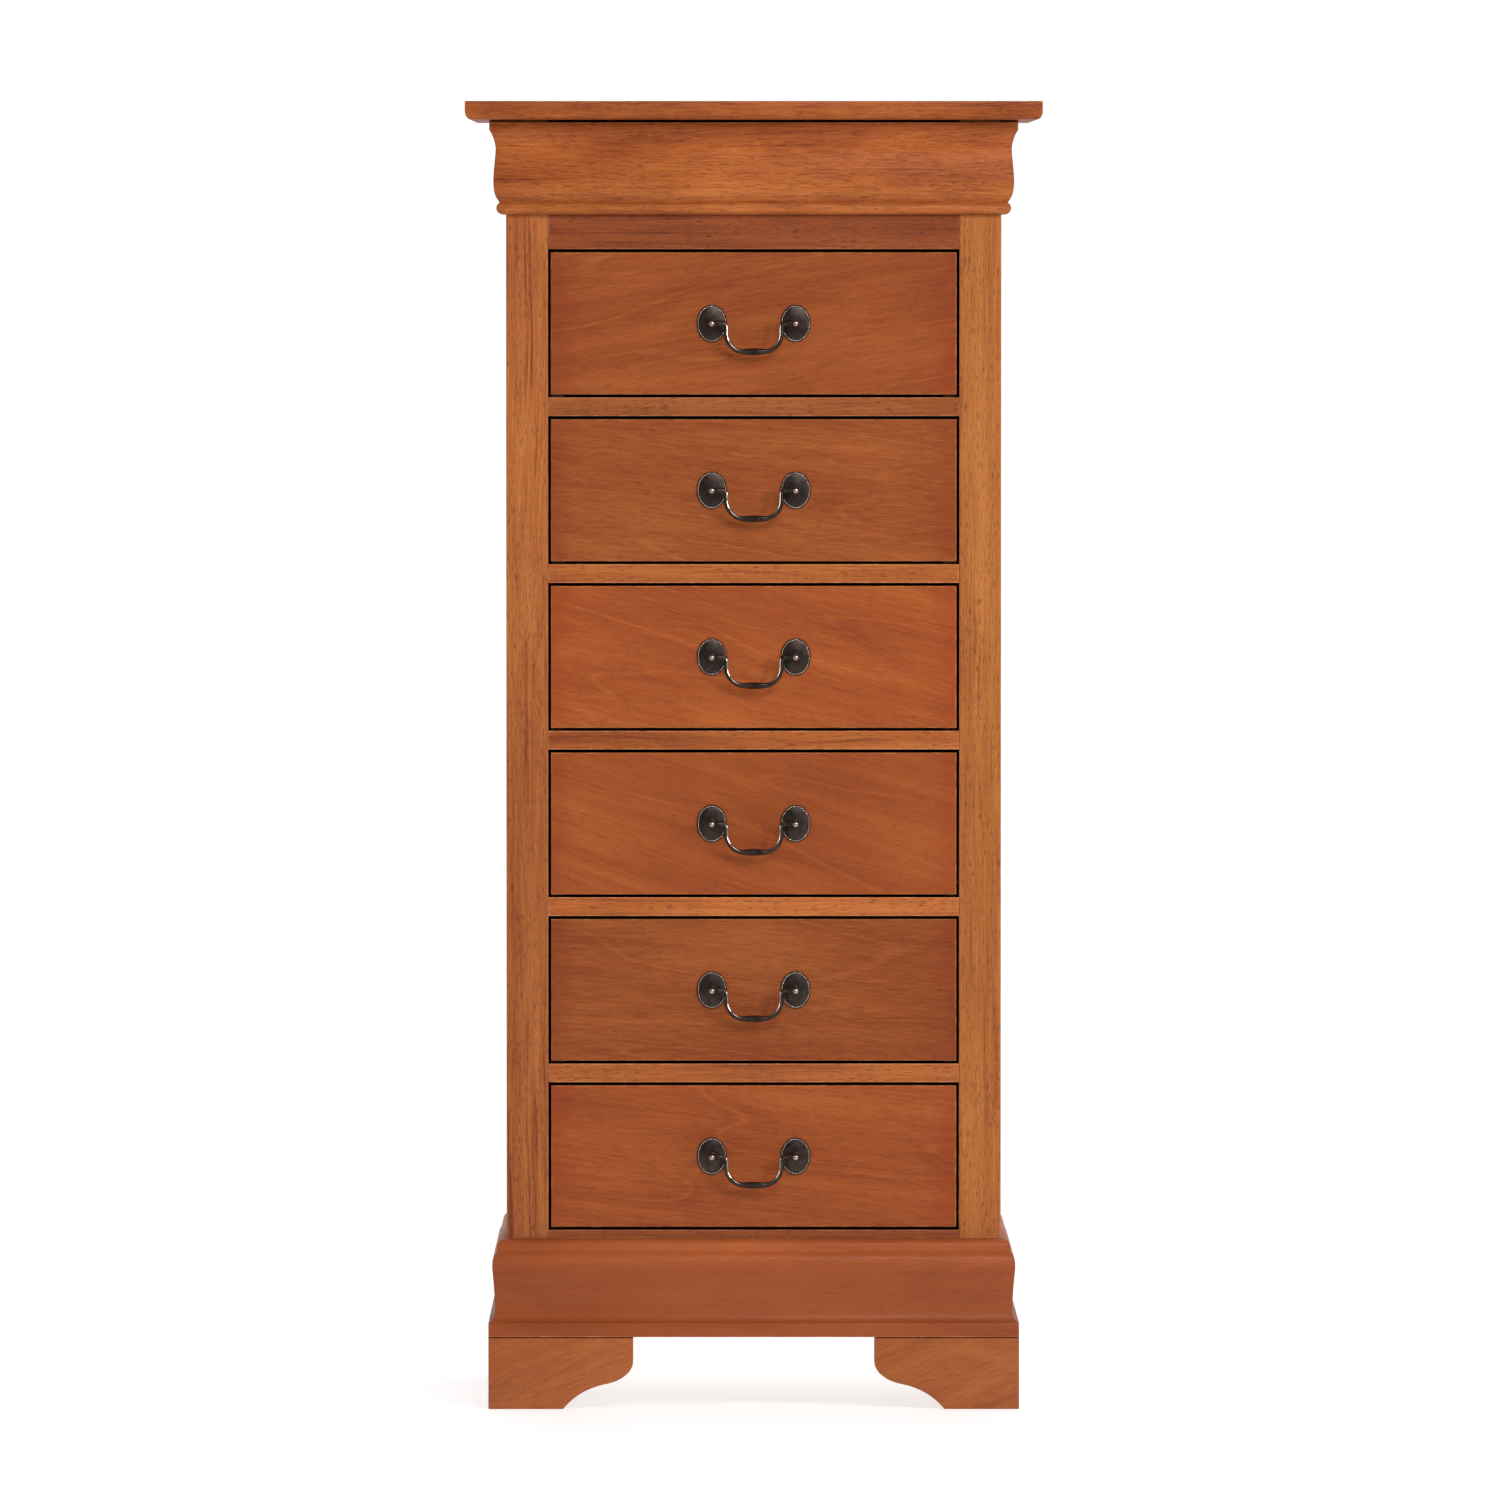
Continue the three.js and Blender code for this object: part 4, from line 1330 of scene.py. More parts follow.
@dataclass(frozen=True)
class FriezeOutline(MouldingOutline):
    """A bead, an ogee and a fillet."""

    ogee_foot: float = 12.8 * MM
    ogee_head: float = 82.7 * MM
    projection: float = 16.3 * MM
    bead_projection: float = 9.4 * MM
    bead_steps: int = 14
    quirk_angle: float = 60.0
    ogee_shares: tuple[Point, ...] = (
        (0.42, 0.0),
        (0.66, 0.1),
        (0.75, 0.24),
        (0.74, 0.38),
        (0.685, 0.54),
        (0.615, 0.73),
        (0.68, 0.845),
        (0.83, 0.945),
        (0.96, 1.0),
    )

    def _face(self, pen: OutlinePen, height: float) -> None:
        """Draw the face from the foot up.

        Args:
            pen: The pen.
            height: The moulding's height.
        """
        radius = self.ogee_foot / 2
        middle = self.bead_projection - radius
        pen.line((middle, 0.0))
        pen.arc((middle, radius), (radius, radius), -90, self.quirk_angle, self.bead_steps)
        self._ogee(pen)
        pen.line((self.projection, self.ogee_head), (self.projection, height))


@dataclass(frozen=True)
class PlinthOutline(MouldingOutline):
    """A fillet, an ogee upside down and a bead."""

    ogee_foot: float = 14 * MM
    ogee_head: float = 84.9 * MM
    projection: float = 18 * MM
    bead_projection: float = 9.3 * MM
    bead_foot: float = 89.3 * MM
    bead_steps: int = 10
    ogee_shares: tuple[Point, ...] = (
        (0.95, 0.0),
        (0.76, 0.05),
        (0.655, 0.13),
        (0.64, 0.27),
        (0.685, 0.46),
        (0.745, 0.65),
        (0.79, 0.79),
        (0.73, 0.91),
        (0.5, 1.0),
    )

    def _face(self, pen: OutlinePen, height: float) -> None:
        """Draw the face from the foot up.

        Args:
            pen: The pen.
            height: The moulding's height.
        """
        pen.line((self.projection, 0.0), (self.projection, self.ogee_foot))
        self._ogee(pen)
        pen.line((self.bead_projection, self.bead_foot))
        radii = (self.bead_projection, height - self.bead_foot)
        pen.arc((0.0, self.bead_foot), radii, 0, 90, self.bead_steps)


@dataclass
class MouldedGirdle:
    """One moulding that goes round the front and both sides, mitred at the front corners."""

    outline: MouldingOutline
    front: str
    side: str
    front_body: str
    seed: int
    tones: tuple[float, float, float]
    # Painted light: the moulding lighter between two heights.
    fade: Fade
    finish: StainedWood
    arris: float = 0.3 * MM
    arris_steps: int = 2
    least_angle: float = 50.0

    def build(self) -> list[Piece]:
        """Model the front run and the two side runs.

        Returns:
            The front, left and right pieces.
        """
        return [self._front_run(), *(self._side_run(side) for side in Side)]

    def _front_run(self) -> Piece:
        """The run across the front, with a mitre at each end.

        Returns:
            The piece.
        """
        box = Box.of(self.front)
        face = box.low.y + self.outline.projection
        half = box.high.x - self.outline.projection
        long = half + 2 * self.outline.projection
        height = box.high.z - box.low.z
        pen = self.outline.draw(f"{self.front}_moulding", face - box.high.y, height)
        piece = pen.board(-long, 2 * long)
        for side in Side:
            Bench.saw(piece, Vector((side.value * half, 0, 0)), Vector((side.value, 1, 0)))
        Bench.move(piece, Vector((0, face, box.low.z)))
        return self._eased(piece)

    def _side_run(self, side: Side) -> Piece:
        """The run along a side, mitred in front and square behind.

        Args:
            side: Which side.

        Returns:
            The piece.
        """
        node = f"{self.side}_{side.word}"
        box = Box.of(node)
        left = Box.of(f"{self.side}_{Side.LEFT.word}")
        wall = left.low.x + self.outline.projection
        start = box.low.y + self.outline.projection
        length = box.high.y - start
        height = box.high.z - box.low.z
        pen = self.outline.draw(f"{node}_moulding", wall - left.high.x, height)
        piece = pen.board(-length, length + 2 * self.outline.projection)
        Bench.saw(piece, Vector((0, 0, 0)), Vector((1, 1, 0)))
        Bench.turn(piece, -math.pi / 2, 2)
        Bench.move(piece, Vector((wall, start, box.low.z)))
        if side is Side.RIGHT:
            Bench.mirror(piece, 0)
        return self._eased(piece)

    def _eased(self, piece: Piece) -> Piece:
        """The piece with its sharp edges eased and the rest shaded smooth.

        Args:
            piece: The piece.

        Returns:
            The same piece.
        """
        Bench.ease_edges(piece, self.arris, self.arris_steps, self.least_angle)
        Bench.smooth(piece)
        return piece

    def dress(self, pieces: list[Piece]) -> None:
        """Finish the three pieces.

        Args:
            pieces: The front, left and right pieces.
        """
        nodes = [self.front, f"{self.side}_left", f"{self.side}_right"]
        bodies = [self.front_body, "case", "case"]
        grains = [Grain.ACROSS, Grain.BACK, Grain.BACK]
        rows = zip(pieces, nodes, bodies, grains, self.tones)
        for i, (piece, node, body, grain, tone) in enumerate(rows):
            cut = Cut(node, grain, self.seed + i, tone, Box.of(node), fade=self.fade)
            finish_piece(piece, body, self.finish.material(cut), "stained_wood", node)


@dataclass
class BracketFoot:
    """A bracket foot: two boards mitred at the corner and a glue block behind them."""

    height: float
    front_width: float = 143.5 * MM
    side_width: float = 125 * MM
    rear_width: float = 95 * MM
    thickness: float = 20 * MM
    block_size: float = 34 * MM
    block_lift: float = 3 * MM
    toe_share: float = 0.516
    rear_toe_share: float = 0.6
    arch_shares: tuple[Point, Point, Point] = ((0.585, 0.168), (0.676, 0.294), (0.822, 0.352))
    nose_shares: tuple[Point, Point, Point] = ((0.92, 0.392), (1.0, 0.517), (1.0, 0.662))
    curve_steps: int = 14
    mitre_gap: float = 0.05 * MM
    arris: float = 0.9 * MM
    arris_steps: int = 3
    least_angle: float = 50.0

    def _bracket(self, name: str, width: float, across: Place) -> OutlinePen:
        """Draw a bracket with its arched cut-out.

        Args:
            name: The piece's name.
            width: How wide it is.
            across: The way that its width runs.

        Returns:
            The pen, at the end of the outline.
        """
        pen = OutlinePen(name, (0.0, 0.0), across)
        pen.line((self.toe_share * width, 0.0))
        for shares in (self.arch_shares, self.nose_shares):
            first, second, end = ((x * width, y * self.height) for x, y in shares)
            pen.bend(first, second, end, self.curve_steps)
        pen.line((width, self.height), (0.0, self.height))
        return pen

    def _brace(self, name: str) -> OutlinePen:
        """Draw the plain brace that a rear foot has at the back.

        Args:
            name: The piece's name.

        Returns:
            The pen, at the end of the outline.
        """
        pen = OutlinePen(name, (0.0, 0.0), (1, 0, 0))
        toe = (self.rear_toe_share * self.rear_width, 0.0)
        pen.line(toe, (self.rear_width, self.height), (0.0, self.height))
        return pen

    def build(self, name: str, rear: bool) -> Piece:
        """Model a left foot, with its outer corner at the origin.

        Args:
            name: The piece's name.
            rear: Whether it has the rear foot's plain brace.

        Returns:
            The piece, whose crosswise board faces -Y.
        """
        pen = self._brace(name) if rear else self._bracket(name, self.front_width, (1, 0, 0))
        crosswise = pen.board(0.0, self.thickness)
        pen = self._bracket(f"{name}_side", self.side_width, (0, 1, 0))
        side = pen.board(0.0, -self.thickness)
        near = self.thickness + self.mitre_gap
        far = self.thickness + self.block_size
        box = Box(Vector((near, near, self.block_lift)), Vector((far, far, self.height)))
        block = Bench.block(f"{name}_block", box)
        for board in (crosswise, side, block):
            Bench.ease_edges(board, self.arris, self.arris_steps, self.least_angle)
        gap = Vector((self.mitre_gap, -self.mitre_gap, 0))
        Bench.saw(crosswise, gap, Vector((-1, 1, 0)))
        Bench.saw(side, -gap, Vector((1, -1, 0)))
        for board, part in ((crosswise, "across"), (side, "back"), (block, "back")):
            board.data.materials.append(unfinished(part))
        foot = Bench.join(name, [crosswise, side, block])
        Bench.smooth(foot)
        return foot


@dataclass
class Feet:
    """The four bracket feet, with a line of painted shade at their joint with the plinth."""

    joint_line: float = 1.4 * MM
    joint_shade_depth: float = 4 * MM
    tones: tuple[float, ...] = (0.98, 0.93, 0.9, 0.9)

    def build(self) -> dict[str, Piece]:
        """Model the feet where the CAD nodes are.

        Returns:
            The pieces by the node that each stands for.
        """
        pieces = {}
        for end in ("front", "rear"):
            left = Box.of(f"foot_{end}_left")
            piece = BracketFoot(left.high.z).build(f"foot_{end}_left_bracket", end == "rear")
            if end == "rear":
                Bench.mirror(piece, 1)
            Bench.move(piece, Vector((left.low.x, left.high.y if end == "rear" else left.low.y, 0)))
            twin = Bench.copy(piece, f"foot_{end}_right_bracket")
            Bench.mirror(twin, 0)
            pieces |= {f"foot_{end}_left": piece, f"foot_{end}_right": twin}
        return pieces

    def _joint(self, node: str, axis: int) -> Box:
        """The thin box of the painted shade along a foot's joint line, on its outer face.

        Args:
            node: The foot's CAD node.
            axis: The axis that the face looks along.

        Returns:
            The box.
        """
        foot = Box.of(node)
        margin = Vector((MM, MM, MM))
        low = foot.low - margin
        high = foot.high + margin
        low.z = foot.high.z - self.joint_line
        if foot.middle[axis] < 0:
            high[axis] = low[axis] + self.joint_shade_depth
        else:
            low[axis] = high[axis] - self.joint_shade_depth
        return Box(low, high)

    def dress(self, pieces: dict[str, Piece]) -> None:
        """Finish the feet.

        Args:
            pieces: The pieces by the node that each stands for.
        """
        for i, (node, piece) in enumerate(pieces.items()):
            # Painted shade: a thin dark line along the top of each foot, where it meets the plinth.
            joint = self._joint(node, 1) if "front" in node else None
            cut = Cut(node, Grain.ACROSS, Seed.FEET + i, self.tones[i], painted_shade_in=joint)
            side = replace(
                cut,
                label=f"{node}_side",
                grain=Grain.BACK,
                seed=Seed.FEET_SIDES + i,
                painted_shade_in=self._joint(node, 0),
            )
            piece.data.materials[1] = FOOT_WOOD.material(side)
            finish_piece(piece, "case", FOOT_WOOD.material(cut), "stained_wood", node)


def opening(start: float = 1.5 * MM, end: float = 0.3) -> Box:
    """The inside of the front opening, between two depths behind the drawers' faces, where shade is
    painted.

    Args:
        start: The depth at which it starts.
        end: The depth at which it ends.

    Returns:
        The box.
    """
    left = Box.of("front_post_left")
    half = -left.high.x + MM
    face = left.low.y
    return Box(Vector((-half, face + start, 0)), Vector((half, face + end, left.high.z)))


@dataclass
class Case:
    """The CAD pieces of the case, which keep their shape and get their finish here."""

    rail_depth: float = 45 * MM
    stain_depth: float = 42 * MM
    post_tones: Point = (0.79, 0.92)
    # Painted light: each post lighter towards its top, where the light from above falls.
    post_painted_lights: tuple[Fade, Fade] = (
        Fade(0.4, 1.1, (1.28, 1.34, 1.44)),
        Fade(0.22, 0.5, (1.1, 1.15, 1.17)),
    )
    panel_tone: float = 0.94
    rails: tuple[tuple[str, float, StainedWood], ...] = (
        ("frieze_frame", 0.6, RED_RAIL_WOOD),
        ("web_frame_1", 0.72, RAIL_WOOD),
        ("web_frame_2", 0.98, RAIL_WOOD),
        ("web_frame_3", 0.95, RAIL_WOOD),
        ("web_frame_4", 1.04, RAIL_WOOD),
        ("web_frame_5", 0.93, RAIL_WOOD),
        ("bottom_frame", 0.6, RED_RAIL_WOOD),
    )

    def dress(self) -> None:
        """Finish the posts, panels, back and frames."""
        # Painted shade: dark and dull inside the front opening, on the posts, rails and drawer
        # fronts.
        dark = opening()
        for i, (side, finish) in enumerate(zip(Side, (POST_WOOD, GOLDEN_POST_WOOD))):
            post = f"front_post_{side.word}"
            cut = Cut(post, Grain.UP, Seed.POSTS + i, self.post_tones[i], Box.of(post))
            dress(post, finish.material(replace(cut, painted_shade_in=dark, fade=self.post_painted_lights[i])))
            panel = f"side_panel_{side.word}"
            cut = Cut(panel, Grain.UP, Seed.PANELS + i, self.panel_tone, Box.of(panel))
            dress(panel, POST_WOOD.material(cut))
        dress("back_panel", BACK_BOARD.material("back_board", Grain.UP, Seed.BACK))
        stained = Box.of("front_post_left").low.y + self.stain_depth
        for i, (name, tone, finish) in enumerate(self.rails):
            rail = Box.of_front_face(name, self.rail_depth)
            cut = Cut(name, Grain.ACROSS, Seed.RAILS + i, tone, rail, stained, dark)
            dress(name, finish.material(cut))


def share_between(value: float, low: float, high: float) -> float:
    """How far a value has come from low to high, kept between 0 and 1."""
    return min(max((value - low) / (high - low), 0.0), 1.0)


@dataclass(frozen=True)
class Rosette:
    """The oval plate with its beaded rim, and the turned post that carries the bail."""

    height: float = 37 * MM
    width: float = 29.8 * MM
    sunk: float = 0.1 * MM
    lip_out: float = 1.5 * MM
    lip_width: float = 0.9 * MM
    lip_steps: int = 8
    rim_out: float = 1.5 * MM
    rim_width: float = 1.0 * MM
    dish_out: float = 1.2 * MM
    dome_out: float = 3.4 * MM
    plate_steps: int = 96
    bead_count: int = 92
    bead_radius: float = 0.52 * MM
    bead_sides: int = 8
    bead_rings: int = 6
    bead_rubbed: Point = (0.4, 0.6)
    dome_steps: int = 16
    neck_radius: float = 2.6 * MM
    neck_hollow: float = 1.6 * MM
    neck_sunk: float = 0.3 * MM
    eye_radius: float = 3.8 * MM
    eye_half: float = 3.4 * MM
    eye_round: float = 1.2 * MM
    pivot_out: float = 13 * MM
    ball_radius: float = 4 * MM
    ball_neck: float = 2.1 * MM
    ball_out: float = 21 * MM
    post_steps: int = 40
    arc_steps: tuple[int, int, int] = (10, 12, 18)
    pin_hole: float = 1.75 * MM
    pin_depth: float = 1.5 * MM
    pin_sides: int = 24
    shank_radius: float = 2.1 * MM
    nut_sides: int = 6
    nut_radius: float = 4.4 * MM
    nut_thickness: float = 3.2 * MM
    nut_recess: float = 0.8 * MM
    nut_ease: float = 0.4 * MM
    nut_ease_steps: int = 2
    board: float = 19.1 * MM
    stub: float = 1.5 * MM
    plate_angle: float = 50.0
    bead_angle: float = 80.0
    post_angle: float = 40.0
    post_rubbed: Point = (0.3, 0.5)
    facing_range: Point = (0.82, 0.96)

    def build(self, name: str) -> Piece:
        """Model a left rosette on the drawer front's plane, with its middle at the origin.

        Args:
            name: The piece's name.

        Returns:
            The piece, with its beads and its ball marked as worn bright, part wear and part painted
            highlight.
        """
        plate = self._plate(name)
        beads = self._beads()
        post = self._post()
        nut = self._nut()
        post.data.materials.clear()
        Bench.mark(plate, ANTIQUE_BRONZE.mark, lambda place, out: 0.0)
        Bench.mark(post, ANTIQUE_BRONZE.mark, self._post_rubbed)
        Bench.mark(beads, ANTIQUE_BRONZE.mark, self._beads_rubbed)
        return Bench.join(name, [plate, post, nut, beads])

    def _beads_rubbed(self, place: Vector, out: Vector) -> float:
        """How worn bright a bead is, part wear and part painted highlight: most where it faces
        forward.
        """
        level, gain = self.bead_rubbed
        return max(0.0, level - gain * out.y)

    def _post_rubbed(self, place: Vector, out: Vector) -> float:
        """How worn bright the post is: most at the front of its ball, where the bright spot is a
        painted highlight, and not at all at its foot.

        Args:
            place: A point.
            out: The way that the post faces there.

        Returns:
            The share.
        """
        level, gain = self.post_rubbed
        reach = share_between(-place.y, self.dome_out, self.ball_out)
        return reach * (level + gain * share_between(-out.y, *self.facing_range))

    def _plate(self, name: str) -> Piece:
        """The domed plate, turned round and then drawn in to an oval.

        Args:
            name: The piece's name.

        Returns:
            The piece.
        """
        outer = self.height / 2
        crest = outer - self.lip_width / 2
        bed = outer - self.lip_width - self.rim_width
        pen = OutlinePen(name, (0.0, self.sunk), (1, 0, 0), (0, -1, 0))
        pen.line((outer, self.sunk))
        half = self.lip_out / 2
        pen.arc((crest, half), (outer - crest, half), 0, 180, self.lip_steps)
        pen.line((bed, half), (bed, self.dish_out))
        for i in range(1, self.dome_steps + 1):
            t = i / self.dome_steps
            rise = (self.dome_out - self.dish_out) * t * (2 - t)
            pen.line((bed * (1 - t), self.dish_out + rise))
        plate = pen.turning(self.plate_steps)
        plate.scale.x = self.width / self.height
        Bench.set_in_mesh(plate)
        Bench.smooth(plate, self.plate_angle)
        return plate

    def _beads(self) -> Piece:
        """The ring of small beads on the rim.

        Returns:
            The piece.
        """
        Bench.put_down()
        bpy.ops.mesh.primitive_uv_sphere_add(
            segments=self.bead_sides, ring_count=self.bead_rings, radius=self.bead_radius
        )
        first = bpy.context.object
        Bench.smooth(first, self.bead_angle)
        across = (self.width - self.rim_width) / 2 - self.lip_width
        up = (self.height - self.rim_width) / 2 - self.lip_width
        ring = []
        for i in range(self.bead_count):
            angle = 2 * math.pi * i / self.bead_count
            bead = Bench.copy(first, f"bead_{i}")
            place = Vector((across * math.cos(angle), -self.rim_out, up * math.sin(angle)))
            Bench.move(bead, place)
            ring.append(bead)
        bpy.data.objects.remove(first)
        return Bench.join("beads", ring)

    def _post(self) -> Piece:
        """The post with its eye and ball, the shank behind it, and the hole for the pin.

        Returns:
            The piece.
        """
        back = -self.board - self.nut_thickness - self.stub
        foot = self.neck_radius + self.neck_hollow
        half = (self.pivot_out - self.eye_half - self.dome_out) / 2
        neck_steps, eye_steps, ball_steps = self.arc_steps
        pen = OutlinePen("post", (0.0, back), (1, 0, 0), (0, -1, 0))
        pen.line((self.shank_radius, back), (self.shank_radius, self.sunk))
        pen.line((foot, self.dome_out - self.neck_sunk))
        pen.arc((foot, self.dome_out + half), (self.neck_hollow, half), 270, 90, neck_steps)
        middle = (self.eye_radius - self.eye_round, self.pivot_out)
        pen.arc(middle, (self.eye_round, self.eye_half), -90, 90, eye_steps)
        pen.line((self.ball_neck, self.pivot_out + self.eye_half))
        start = -math.degrees(math.acos(self.ball_neck / self.ball_radius))
        pen.arc((0.0, self.ball_out), (self.ball_radius,) * 2, start, 90, ball_steps)
        post = pen.turning(self.post_steps)
        Bench.put_down()
        bpy.ops.mesh.primitive_cylinder_add(
            vertices=self.pin_sides,
            radius=self.pin_hole,
            depth=self.eye_radius,
            location=(self.eye_radius * 1.5 - self.pin_depth, -self.pivot_out, 0),
            rotation=(0, math.pi / 2, 0),
        )
        drill = bpy.context.object
        Bench.modify(post, "BOOLEAN", operation="DIFFERENCE", object=drill)
        bpy.data.objects.remove(drill)
        Bench.smooth(post, self.post_angle)
        return post

    def _nut(self) -> Piece:
        """The six-sided nut inside the drawer.

        Returns:
            The piece.
        """
        Bench.put_down()
        bpy.ops.mesh.primitive_circle_add(
            vertices=self.nut_sides,
            radius=self.nut_radius,
            fill_type="NGON",
            location=(0, self.board, 0),
            rotation=(math.pi / 2, 0, 0),
        )
        nut = bpy.context.object
        Bench.set_in_mesh(nut)
        Bench.edit(nut)
        bpy.ops.mesh.inset(thickness=self.nut_radius - self.shank_radius - self.nut_recess)
        bpy.ops.mesh.select_all(action="SELECT")
        away = (0, self.nut_thickness, 0)
        bpy.ops.mesh.extrude_region_move(TRANSFORM_OT_translate={"value": away})
        bpy.ops.object.mode_set(mode="OBJECT")
        Bench.face_out(nut)
        Bench.ease_edges(nut, self.nut_ease, self.nut_ease_steps)
        Bench.smooth(nut)
        return nut


@dataclass(frozen=True)
class BailRod:
    """The bent rod: a pin at each end, a flared collar, and a grip with a flat in front."""

    half_spacing: float = 41.5 * MM
    drop: float = 27.9 * MM
    leg_inset: float = 14.2 * MM
    bend_radius: float = 4 * MM
    corner_width_share: float = 0.66
    corner_height_share: float = 0.65
    wire: float = 2.4 * MM
    grip: float = 3.4 * MM
    grip_half: float = 17 * MM
    flat_out: float = 2.65 * MM
    pin: float = 1.5 * MM
    pin_reach: float = 1.2 * MM
    eye: float = 4.2 * MM
    collar: float = 3.4 * MM
    collar_thickness: float = 1.3 * MM
    collar_ease: float = 0.3 * MM
    flare_inset: float = 0.1 * MM
    flare_steps: int = 5
    arc_steps: int = 12
    sides: int = 20
    smooth_angle: float = 35.0
    rubbed_tilt: float = 0.6
    rubbed_range: Point = (0.45, 0.85)
    leg_range: Point = (0.5, 1.5)
    elbow_range: Point = (-0.4, 0.6)

    def _half_line(self) -> list[tuple[float, float, float]]:
        """The rod's line from the collar to the middle of the grip: across, up and radius.

        Returns:
            The points, each with its radius.
        """
        leg = self.half_spacing - self.leg_inset
        bend = self.bend_radius
        width = leg * self.corner_width_share
        height = self.drop * self.corner_height_share
        collar_end = self.half_spacing - self.eye - self.collar_thickness
        line = [(collar_end, 0.0, self.collar - self.flare_inset)]
        for i in range(1, self.flare_steps):
            t = i / self.flare_steps
            across = collar_end + (leg + bend - collar_end) * t
            line.append((across, 0.0, self.wire + (self.collar - self.wire) * (1 - t) ** 2))
        for middle, radii, start, end in (
            ((leg + bend, -bend), (bend, bend), 90, 180),
            ((leg - width, height - self.drop), (width, height), 0, -90),
        ):
            for i in range(self.arc_steps + 1):
                angle = math.radians(start + (end - start) * i / self.arc_steps)
                across = middle[0] + radii[0] * math.cos(angle)
                up = middle[1] + radii[1] * math.sin(angle)
                line.append((across, up, self._radius(across)))
        for i in range(1, self.arc_steps + 1):
            across = (leg - width) * (1 - i / self.arc_steps)
            line.append((across, -self.drop, self._radius(across)))
        return line

    def _radius(self, across: float) -> float:
        """The rod's radius where it is this far from the middle."""
        t = share_between(abs(across), 0.0, self.grip_half)
        return self.grip + (self.wire - self.grip) * t * t * (3 - 2 * t)

    def build(self, name: str) -> Piece:
        """Model a bail that hangs from the X axis.

        Args:
            name: The piece's name.

        Returns:
            The piece.
        """
        half = self._half_line()
        line = half + [(-x, z, radius) for x, z, radius in reversed(half[:-1])]
        Bench.put_down()
        bpy.ops.curve.primitive_bezier_curve_add()
        rod = bpy.context.object
        rod.name = name
        rod.location = (0, 0, 0)
        rod.data.splines.clear()
        spline = rod.data.splines.new("POLY")
        spline.points.add(len(line) - 1)
        for point, (x, z, radius) in zip(spline.points, line):
            point.co = (x, 0, z, 1)
            point.radius = radius
        rod.data.dimensions = "3D"
        rod.data.bevel_depth = 1.0
        rod.data.bevel_resolution = self.sides // 4 - 1
        rod.data.use_fill_caps = True
        Bench.take(rod)
        bpy.ops.object.convert(target="MESH")
        rod = bpy.context.object
        Bench.face_out(rod)
        Bench.saw(rod, Vector((0, -self.flat_out, 0)), Vector((0, -1, 0)))
        Bench.smooth(rod, self.smooth_angle)
        Bench.mark(rod, ANTIQUE_BRONZE.mark, self._rubbed)
        return Bench.join(name, [rod, *(self._end(side) for side in Side)])

    def _rubbed(self, place: Vector, out: Vector) -> float:
        """How worn bright the rod is, part wear and part painted highlight: its legs from the elbow
        down, where they face the middle.

        Args:
            place: A point.
            out: The way that the rod faces there.

        Returns:
            The share.
        """
        inward = Vector((-place.x, 0, -self.drop / 2 - place.z)).normalized()
        facing = out.dot((inward + Vector((0, -self.rubbed_tilt, 0))).normalized())
        leg = share_between(abs(place.x) / self.grip_half, *self.leg_range)
        elbow = self.half_spacing - self.leg_inset + self.bend_radius
        past_elbow = (elbow - abs(place.x)) / self.bend_radius
        low_down = share_between(past_elbow, *self.elbow_range)
        return leg * low_down * share_between(facing, *self.rubbed_range)

    def _end(self, side: Side) -> Piece:
        """A collar with its pin, turned from one outline along X.

        Args:
            side: Which end.

        Returns:
            The piece.
        """
        outer = self.half_spacing - self.eye
        inner = outer - self.collar_thickness
        tip = self.half_spacing + self.pin_reach
        ease = self.collar_ease
        pen = OutlinePen("collar", (0.0, inner), (0, 0, 1), (1, 0, 0))
        pen.line((self.collar - ease, inner), (self.collar, inner + ease))
        pen.line((self.collar, outer - ease), (self.collar - ease, outer))
        pen.line((self.pin, outer), (self.pin, tip - ease), (self.pin - ease, tip), (0.0, tip))
        end = pen.turning(self.sides)
        if side is Side.LEFT:
            Bench.mirror(end, 0)
        Bench.smooth(end, self.smooth_angle)
        return end


@dataclass(frozen=True)
class FrontBoard:
    """A drawer front's veneer: its tone, how strong its fibres are, and its lean in degrees."""

    tone: float
    fibre_share: float
    lean: float


